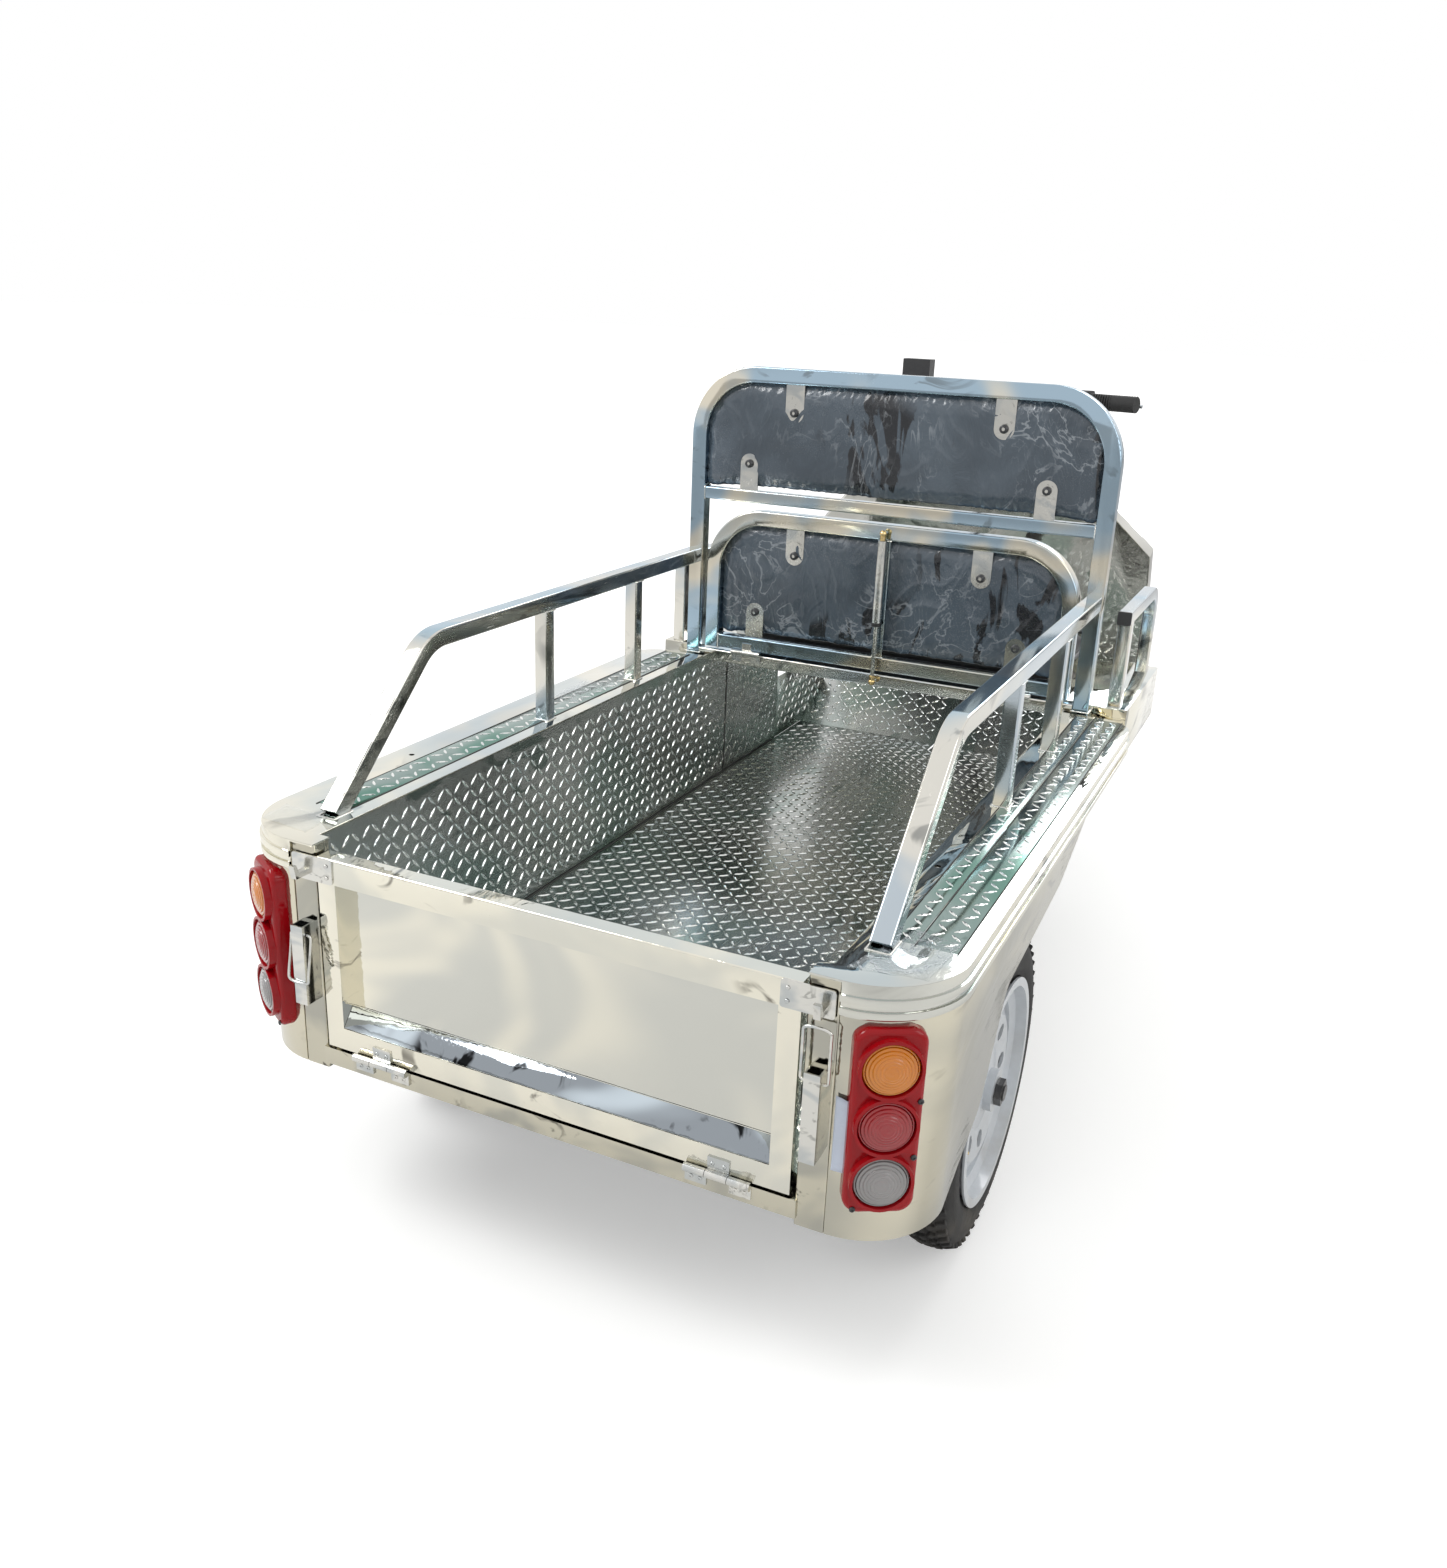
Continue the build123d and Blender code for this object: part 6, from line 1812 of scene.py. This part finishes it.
@dataclass
class Tailgate:
    """What dresses the tailgate: a sill band that carries painted reflections, hinge screws, ear rivets and
    left-over film.
    """

    shop: Shop
    half: float = 0.3195
    band_top: tuple[float, float] = (21.0, 0.3575)
    band_foot: tuple[float, float] = (0.6, 0.3318)
    band_thickness: float = 0.0006
    hinge_x: float = 0.255
    hinge_z: float = 0.2955
    leaf_face: float = -2.5
    ear_x: float = 0.331
    # Screws of each hinge leaf: body, height from the pin, places across
    leaf_screws: tuple[tuple[str, float, tuple[float, ...]], ...] = (
        ("tailgate", 0.0135, (-0.008, 0.008)),
        ("chassis", -0.0130, (-0.036, -0.024, 0.024, 0.036)),
    )
    # Corners of the blue patch beside the right lamp: X and Z
    blue_patch: tuple[tuple[float, float], ...] = (
        (0.397, 0.352), (0.421, 0.352), (0.424, 0.446), (0.397, 0.452))
    # Corners of each clear patch on the decks: X, and millimetres ahead
    deck_films: tuple[tuple[tuple[float, float], ...], ...] = (
        ((0.386, 30.0), (0.478, 48.0), (0.486, 150.0), (0.424, 160.0)),
        ((-0.470, 760.0), (-0.408, 745.0), (-0.412, 905.0), (-0.474, 890.0)),
        ((-0.480, 40.0), (-0.392, 30.0), (-0.400, 84.0), (-0.486, 96.0)),
    )

    def build(self) -> None:
        """Makes the sill band, screws, rivets and film patches."""
        self._band()
        self._screws()
        self._film()

    def _band(self) -> None:
        """A thin band on the sloping sill that carries painted sky and dark reflections."""
        top_y, foot_y = ahead(self.band_top[0]), ahead(self.band_foot[0])
        top_z, foot_z = self.band_top[1], self.band_foot[1]
        length = math.hypot(top_y - foot_y, top_z - foot_z)
        lean = math.atan2(top_z - foot_z, top_y - foot_y)
        middle = (0.0, (top_y + foot_y) / 2 - 0.0004, (top_z + foot_z) / 2 + 0.0003)
        band = placed(block((2 * self.half, length, self.band_thickness), 0.0002, 1), middle, (lean, 0, 0))
        self.shop.piece("tailgate_sill_band", band, "sill_mirror", "tailgate", "stainless_mirror")

    def _screws(self) -> None:
        """Hinge screws and ear rivets."""
        for body, rise, places in self.leaf_screws:
            spots = [((x + place, ahead(self.leaf_face), self.hinge_z + rise), REARWARD)
                     for x in (-self.hinge_x, self.hinge_x) for place in places]
            mesh = self.shop.scattered(dome_head(0.006, 0.0014), spots, "stainless_small")
            self.shop.piece(f"gate_hinge_screws_{body}", mesh, None, body, "stainless_small")
        low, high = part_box("tailgate_ears")
        heights = (high[2] - 0.010, low[2] + 0.009)
        spots = [((side.value * self.ear_x, low[1] + 0.0185, z), REARWARD) for side in Side
                 for z in heights]
        mesh = self.shop.scattered(dome_head(0.0055, 0.0012, False), spots, "stainless_small")
        self.shop.piece("ear_rivets", mesh, None, "tailgate", "stainless_small")

    def _film(self) -> None:
        """Left-over protective film: a pale blue patch by the right lamp, and clear film on the decks."""
        y = ahead(0.0) - 0.0003
        patch = crumpled_sheet([(x, y, z) for x, z in self.blue_patch], 0.0008, 14, 2.0)
        self.shop.piece("blue_film_patch", patch, "blue_film", "chassis", "stainless_mirror")
        for index, corners in enumerate(self.deck_films):
            film = crumpled_sheet([(x, ahead(place), DECK_TOP) for x, place in corners], 0.0022, 24,
                                  index * 3.0)
            self.shop.piece(f"deck_film_{index + 1}", film, "clear_film", "chassis", "stainless_mirror")


@dataclass
class Backrest:
    """Bolts of the pad tabs, and the gas strut's ball ends and seal."""

    shop: Shop
    bolt: tuple[float, float] = (0.0165, 0.0068)
    bolt_seat: float = 0.0052
    ball: float = 0.0069
    ball_inset: float = 0.0065

    def build(self) -> None:
        """Makes the bolts and the strut's fittings."""
        for node, body in (("back_pad_tabs", "chassis"), ("fold_pad_tabs", "fold_backrest")):
            spots = [((spot.x, spot.y + self.bolt_seat, spot.z), REARWARD) for spot in crown_spots(node)]
            mesh = self.shop.scattered(dome_head(*self.bolt), spots, "black_bolt")
            self.shop.piece(f"{node}_bolts", mesh, None, body, "black_plastic")
        low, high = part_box("strut_cylinder")
        rod_low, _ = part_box("strut_rod")
        x, y = (low[0] + high[0]) / 2, (low[1] + high[1]) / 2
        self._strut_end("upper", "strut_upper", (x, y, high[2] - self.ball_inset))
        self._strut_end("lower", "strut_lower", (x, y, rod_low[2] + self.ball_inset))
        wiper = [(0.0045, -0.0012), (0.0088, -0.0012), (0.0093, 0.0), (0.0093, 0.006), (0.0088, 0.0065)]
        seal = placed(lathe(wiper, 24), (x, y, low[2]))
        self.shop.piece("strut_seal", seal, "black_plastic", "strut_upper", "black_plastic")

    def _strut_end(self, name: str, body: str, place: Point) -> None:
        """Brass ball and collar at one end of the gas strut.

        Args:
            name: Which end, upper or lower.
            body: The body it rides on.
            place: The ball's centre.
        """
        angles = [math.pi * step / 10 for step in range(10, -1, -1)]
        outline = [(self.ball * math.sin(angle) + 0.0001, self.ball * math.cos(angle)) for angle in angles]
        collar = lathe([(0.0045, 0.004), (0.0058, 0.0045), (0.0058, 0.0125), (0.0045, 0.013)], 18)
        if name == "upper":
            collar.transform(Matrix.Rotation(math.pi, 4, "X"))
        end = placed(joined([lathe(outline, 18), collar]), place)
        self.shop.piece(f"strut_ball_{name}", end, "brass", body, "stainless_small")


@dataclass
class Welds:
    """Weld beads where tubes stand on the decks and meet each other."""

    shop: Shop
    rail_x: float = 0.405
    post_half: float = 0.0128
    deck: float = 0.5975
    rail_under: float = 0.7888
    crossbar: tuple[float, float] = (0.3895, 0.929)
    posts_at: tuple[float, float] = (640.0, 950.0)
    foot_at: float = 103.0
    hoop_at: float = 1222.0
    centre_bar_at: float = 1212.5
    hinge_tube_x: float = 0.3475
    bead: float = 0.0022
    spacing: float = 0.0027

    def build(self) -> None:
        """Makes the beads of both bodies."""
        loops = []
        for side in Side:
            x = side.value * self.rail_x
            for along in self.posts_at:
                loops.append(self._square(x, ahead(along), self.deck))
                loops.append(self._square(x, ahead(along), self.rail_under))
            loops.append(self._square(x, ahead(self.foot_at), self.deck, 0.0145, 0.019))
            loops.append(self._square(x, ahead(self.hoop_at), self.deck, 0.0154, 0.0154))
            bar_x, bar_z = self.crossbar
            loops.append(self._ring_x(side.value * bar_x, ahead(self.hoop_at), bar_z, 0.0124))
        self._beads("weld_beads_frame", "chassis", loops)
        low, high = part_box("fold_hoop")
        bar_y, hoop_y = ahead(self.centre_bar_at), ahead(self.hoop_at)
        loops = [self._square(0.0, bar_y, z, 0.0114, 0.0058) for z in (low[2] + 0.0284, high[2] - 0.0304)]
        for x in (self.hinge_tube_x, -self.hinge_tube_x):
            loops.append(self._ring_x(x, hoop_y, low[2] + 0.014, 0.0142))
        self._beads("weld_beads_backrest", "fold_backrest", loops)

    def _square(self, x: float, y: float, z: float, half_x: float = 0.0,
                half_y: float = 0.0) -> list[Point]:
        """A level loop round a square tube."""
        a, b = half_x or self.post_half, half_y or self.post_half
        return [(x - a, y - b, z), (x + a, y - b, z), (x + a, y + b, z), (x - a, y + b, z)]

    def _ring_x(self, x: float, y: float, z: float, half: float) -> list[Point]:
        """An upright loop round a tube that runs along X."""
        return [(x, y - half, z - half), (x, y + half, z - half), (x, y + half, z + half),
                (x, y - half, z + half)]

    def _beads(self, name: str, body: str, loops: list[list[Point]]) -> None:
        """Runs a row of beads along closed loops.

        Args:
            name: The piece's name.
            body: The body it rides on.
            loops: Corner points of each loop.
        """
        verts, edges = [], []
        for loop in loops:
            start = len(verts)
            verts += loop
            edges += [(start + i, start + (i + 1) % len(loop)) for i in range(len(loop))]
        base = bpy.data.meshes.new("loops")
        base.from_pydata(verts, edges, [])
        outline = ((0.0, -0.7), (0.8, -0.4), (1.0, 0.0), (0.8, 0.4), (0.0, 0.7))
        drop = lathe([(max(0.0001, self.bead * radius), self.bead * height) for radius, height in outline],
                     8)
        values = {"Spacing": self.spacing, "Scale": 1.0}
        mesh = self.shop.repeated(self.shop.row, drop, base, "stainless_small", values)
        self.shop.piece(name, mesh, None, body, "stainless_small")


@dataclass
class FrontEnd:
    """Headlamp, grips, brake levers, fork springs and axle nuts at the front."""

    shop: Shop
    rake: float = math.radians(24.0)
    leg_x: float = 0.068
    lens_ribs: int = 8
    rib_spacing: float = 0.0052
    lever_reach: Point = (0.0, 0.042, -0.006)
    lever_radius: float = 0.0042
    spring_turns: float = 9.0
    spring_radius: float = 0.0222
    spring_height: float = 0.135
    spring_wire: float = 0.0028
    spring_foot: float = 0.075

    def build(self) -> None:
        """Makes every piece at the front."""
        self._headlamp()
        self._grips()
        self._springs()
        self._axle_nuts()

    def _headlamp(self) -> None:
        """Ribbed lens and bright bezel."""
        low, high = (Vector(corner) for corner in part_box("headlamp_lens"))
        centre = (low + high) / 2
        radius = (high.x - low.x) / 2
        seat = (centre.x, low.y + 0.0003, centre.z)
        bowl = [(radius, 0.0), (radius, 0.004)]
        for rib in range(self.lens_ribs):
            share = rib / self.lens_ribs
            rise = 0.006 * math.sqrt(share)
            bowl.append((radius * (0.96 - 0.9 * share), 0.005 + rise))
            bowl.append((radius * (0.93 - 0.9 * share), 0.0058 + rise))
        bowl.append((radius * 0.02, 0.0115))
        lens = placed(lathe(bowl, 48), seat, FORWARD)
        self.shop.piece("headlamp_lens_ribbed", lens, "lens_clear", "chassis", "lens_clear",
                        ("headlamp_lens",))
        inner, outer = radius - 0.001, radius + 0.009
        ring = [(inner, 0.003), (inner, 0.0105), (radius + 0.003, 0.0118), (outer, 0.006),
                (outer + 0.0005, -0.010), (inner, -0.010)]
        bezel = placed(lathe(ring + [ring[0]], 56), seat, FORWARD)
        self.shop.piece("headlamp_bezel", bezel, "fork_chrome", "chassis", "fork_chrome")

    def _grips(self) -> None:
        """Ribs round both grips, and a brake lever in front of each."""
        outline = [(0.0170, -0.0011), (0.0176, 0.0), (0.0170, 0.0011), (0.0150, 0.0011), (0.0150, -0.0011)]
        rib = lathe(outline + outline[:1], 20)
        rib.transform(Matrix.Rotation(math.pi / 2, 4, "Y"))
        verts, edges, levers = [], [], []
        for side in Side:
            inner, outer = rod_ends("hand_grips", side)
            edges.append((len(verts), len(verts) + 1))
            verts += [tuple(inner.lerp(outer, 0.06)), tuple(inner.lerp(outer, 0.94))]
            levers.append(wire_tube(self._lever_path(side, inner, outer), self.lever_radius))
        base = bpy.data.meshes.new("grip_lines")
        base.from_pydata(verts, edges, [])
        values = {"Spacing": self.rib_spacing, "Scale": 1.0}
        mesh = self.shop.repeated(self.shop.row, rib, base, "grip_rubber", values)
        self.shop.piece("grip_ribs", mesh, None, "steering", "grip_rubber")
        self.shop.piece("brake_levers", joined(levers), "fork_chrome", "steering", "fork_chrome")

    def _lever_path(self, side: Side, inner: Vector, outer: Vector) -> list[Point]:
        """Centre line of one brake lever.

        Args:
            side: The vehicle's side.
            inner: The grip's inner end.
            outer: The grip's outer end.

        Returns:
            Points from the lever's pivot to its tip.
        """
        away = Vector(self.lever_reach)
        root = inner + Vector((-side.value * 0.012, 0.016, 0))
        path = (root, inner + away * 0.9, inner.lerp(outer, 0.35) + away * 1.1,
                inner.lerp(outer, 0.75) + away, outer + away * 0.95)
        return [tuple(point) for point in path]

    def _springs(self) -> None:
        """Coil springs round the fork's sliders."""
        axle = Vector(middle_of("tyre_front"))
        up = Vector((0, -math.sin(self.rake), math.cos(self.rake)))
        meshes = []
        for side in Side:
            coil = self.shop.run_tree(self.shop.coil, one_point(), {
                "Turns": self.spring_turns, "Radius": self.spring_radius, "Height": self.spring_height,
                "Wire": self.spring_wire, "Finish": self.shop.materials["fork_chrome"]})
            place = axle + up * self.spring_foot + Vector((side.value * self.leg_x, 0, 0))
            meshes.append(placed(coil, place, (self.rake, 0, 0)))
        self.shop.piece("fork_springs", joined(meshes), "fork_chrome", "steering", "fork_chrome")

    def _axle_nuts(self) -> None:
        """Nuts at both ends of the front axle."""
        _, y, z = middle_of("tyre_front")
        low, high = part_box("fork")
        ends = ((high[0] - 0.001, math.pi / 2), (low[0] + 0.001, -math.pi / 2))
        mesh = self.shop.scattered(
            hex_bolt(0.020, 0.008), [((x, y, z), (0, turn, 0)) for x, turn in ends], "stainless_small")
        self.shop.piece("axle_nuts", mesh, None, "steering", "stainless_small")


@dataclass
class Underbody:
    """Nuts of the spring clamps, battery ribs and motor bolts."""

    shop: Shop
    clamp_middle: float = 0.0355
    clamp_half: tuple[float, float] = (0.022, 0.024)
    ribs: int = 11
    bolts: int = 6
    bolt_inset: float = 0.010

    def build(self) -> None:
        """Makes every piece under the floor."""
        self._clamp_nuts()
        self._battery()
        self._motor()

    def _clamp_nuts(self) -> None:
        """Four nuts under each spring clamp."""
        low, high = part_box("spring_clamps")
        middle_x, middle_y = high[0] - self.clamp_middle, (low[1] + high[1]) / 2
        across, along = self.clamp_half
        spots = [((side.value * middle_x + dx, middle_y + dy, low[2] + 0.0005), (math.pi, 0, 0))
                 for side in Side for dx in (-across, across) for dy in (-along, along)]
        mesh = self.shop.scattered(hex_bolt(0.014, 0.006), spots, "stainless_small")
        self.shop.piece("clamp_nuts", mesh, None, "chassis", "stainless_small")

    def _battery(self) -> None:
        """Upright ribs on the battery's long sides."""
        low, high = (Vector(corner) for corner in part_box("battery_block"))
        rib = block((0.002, 0.008, (high.z - low.z) * 0.72), 0.0008, 1)
        middle = (low.z + high.z) / 2 + 0.004
        spots = []
        for x in (low.x - 0.0008, high.x + 0.0008):
            for index in range(self.ribs):
                y = low.y + (index + 1) * (high.y - low.y) / (self.ribs + 1)
                spots.append(((x, y, middle), (0.0, 0.0, 0.0)))
        mesh = self.shop.scattered(rib, spots, "black_plastic")
        self.shop.piece("battery_ribs", mesh, None, "chassis", "black_plastic")

    def _motor(self) -> None:
        """Bolts round the motor's end cover."""
        low, high = (Vector(corner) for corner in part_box("drive_motor"))
        centre, reach = (low + high) / 2, (high.x - low.x) / 2 - self.bolt_inset
        spots = []
        for step in range(self.bolts):
            angle = math.tau * step / self.bolts
            x, z = centre.x + reach * math.cos(angle), centre.z + reach * math.sin(angle)
            spots.append(((x, high.y - 0.0005, z), FORWARD))
        mesh = self.shop.scattered(hex_bolt(0.010, 0.005), spots, "stainless_small")
        self.shop.piece("motor_bolts", mesh, None, "chassis", "cast_aluminium")


@dataclass(frozen=True)
class Studio:
    """Floor, soft lights, world and the photograph's camera."""

    position: Point = (0.816, ahead(-1238.0), 1.290)
    right: Point = (0.9003, 0.4338, 0.0381)
    down: Point = (0.1799, -0.2909, -0.9397)
    forward: Point = (-0.3964, 0.8528, -0.3399)
    lens: float = 30.56
    world_level: float = 0.62
    # Area lights: name, place, size and power
    lights: tuple[tuple[str, Point, float, float], ...] = (
        ("key", (-2.6, -2.4, 3.6), 1.8, 95.0),
        ("fill", (3.4, -1.2, 2.6), 2.4, 38.0),
        ("front", (0.8, 3.8, 3.0), 2.2, 60.0),
    )
    aim: Point = (0.0, -0.3, 0.5)
    floor_half: float = 60.0
    floor_colour: Colour = (0.86, 0.86, 0.85)
    floor_roughness: float = 0.9
    glow_from: float = 1.6
    glow_to: float = 5.0
    glow: tuple[float, float] = (0.34, 0.75)

    def build(self) -> None:
        """Makes the studio."""
        scene = bpy.context.scene
        scene.view_settings.view_transform = "Standard"
        self._camera(scene)
        self._world(scene)
        self._floor()
        for name, place, size, power in self.lights:
            self._light(name, place, size, power)

    def _camera(self, scene: bpy.types.Scene) -> None:
        """The camera at the photograph's place.

        Args:
            scene: The scene that it films.
        """
        data = bpy.data.cameras.new("camera")
        data.lens = self.lens
        camera = bpy.data.objects.new("camera", data)
        scene.collection.objects.link(camera)
        up, back = -Vector(self.down), -Vector(self.forward)
        turn = Matrix((self.right, up, back)).transposed().to_4x4()
        camera.matrix_world = Matrix.Translation(self.position) @ turn
        scene.camera = camera

    def _seen_white(self, graph: Graph, strength: float) -> bpy.types.NodeSocket:
        """A strength that is 1 for what the camera, gloss and glass see, and the plain level for light.

        Args:
            graph: The world's graph.
            strength: The plain level.

        Returns:
            The strength socket.
        """
        rays = graph.add("ShaderNodeLightPath")
        seen = graph.math("MAXIMUM", rays.outputs["Is Camera Ray"], rays.outputs["Is Glossy Ray"])
        seen = graph.math("MAXIMUM", seen, rays.outputs["Is Transmission Ray"])
        return graph.math("ADD", graph.math("MULTIPLY", seen, 1.0 - strength), strength)

    def _world(self, scene: bpy.types.Scene) -> None:
        """Even white surroundings.

        Args:
            scene: The scene that they light.
        """
        world = bpy.data.worlds.new("surroundings")
        world.use_nodes = True
        graph = Graph(world.node_tree)
        background = world.node_tree.nodes["Background"]
        background.inputs["Color"].default_value = (1.0, 1.0, 1.0, 1.0)
        graph.feed(background.inputs["Strength"], self._seen_white(graph, self.world_level))
        scene.world = world

    def _floor(self) -> None:
        """A plain pale floor."""
        half = self.floor_half
        corners = [(-half, -half, 0), (half, -half, 0), (half, half, 0), (-half, half, 0)]
        mesh = mesh_of("floor", corners, [(0, 1, 2, 3)])
        material = bpy.data.materials.new("floor")
        material.use_nodes = True
        graph = Graph(material.node_tree)
        shader = material.node_tree.nodes["Principled BSDF"]
        shader.inputs["Base Color"].default_value = (*self.floor_colour, 1.0)
        shader.inputs["Roughness"].default_value = self.floor_roughness
        rays = graph.add("ShaderNodeLightPath")
        where = graph.add("ShaderNodeTexCoord").outputs["Object"]
        away = graph.add("ShaderNodeVectorMath", {"operation": "LENGTH"}, Vector=where).outputs["Value"]
        glow = graph.span(away, self.glow_from, self.glow_to, *self.glow)
        graph.feed(shader.inputs["Emission Color"], (1.0, 1.0, 1.0, 1.0))
        graph.feed(shader.inputs["Emission Strength"],
                   graph.math("MULTIPLY", rays.outputs["Is Camera Ray"], glow))
        mesh.materials.append(material)
        floor = bpy.data.objects.new("floor", mesh)
        bpy.context.scene.collection.objects.link(floor)

    def _light(self, name: str, place: Point, size: float, power: float) -> None:
        """A soft area light that looks at the vehicle.

        Args:
            name: The light's name.
            place: Where it hangs.
            size: Its side length.
            power: Its power in watts.
        """
        data = bpy.data.lights.new(name, "AREA")
        data.size = size
        data.energy = power
        light = bpy.data.objects.new(name, data)
        bpy.context.scene.collection.objects.link(light)
        light.location = place
        light.rotation_euler = (Vector(self.aim) - Vector(place)).to_track_quat("-Z", "Y").to_euler()


# Bevel of each node whose CAD edges are rounded or softened
REFINED = {
    "deck_left": 0.0008, "deck_right": 0.0008, "side_panel_left": 0.0006, "side_panel_right": 0.0006,
    "rear_frame": 0.0010, "tailgate_frame": 0.0014, "side_rail_left": 0.0, "side_rail_right": 0.0,
    "seat_hoop": 0.0, "fold_hoop": 0.0, "hinge_bar": 0.0, "armrests": 0.0, "leg_shield": 0.0010,
    "nose_cowl": 0.0010, "seat_base": 0.0010, "tail_lamp_housings": 0.0012,
}
# Name, body and outward side of each wheel
WHEELS = (("rear_left", "rear_wheel_left", -1), ("rear_right", "rear_wheel_right", 1),
          ("front", "front_wheel", 1))


def main() -> None:
    """Builds the studio, dresses the CAD nodes and adds every piece."""
    logging.basicConfig(level=logging.INFO, format="%(message)s")
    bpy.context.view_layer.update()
    shop = Shop()
    Studio().build()
    for node, slot in shop.slots.items():
        shop.dress_node(node, FINISH_OF_NODE.get(node, slot))
    for node, bevel in REFINED.items():
        shop.refined(node, FINISH_OF_NODE.get(node, shop.slots[node]), bevel)
    for maker in (LoadBed, Upholstery, TailLamps, Latches, Tailgate, Backrest, Welds, FrontEnd, Underbody):
        maker(shop).build()
    for name, body, outward in WHEELS:
        Wheel(shop, name, body, middle_of(f"tyre_{name}"), outward).build()


if __name__ == "__main__":
    main()
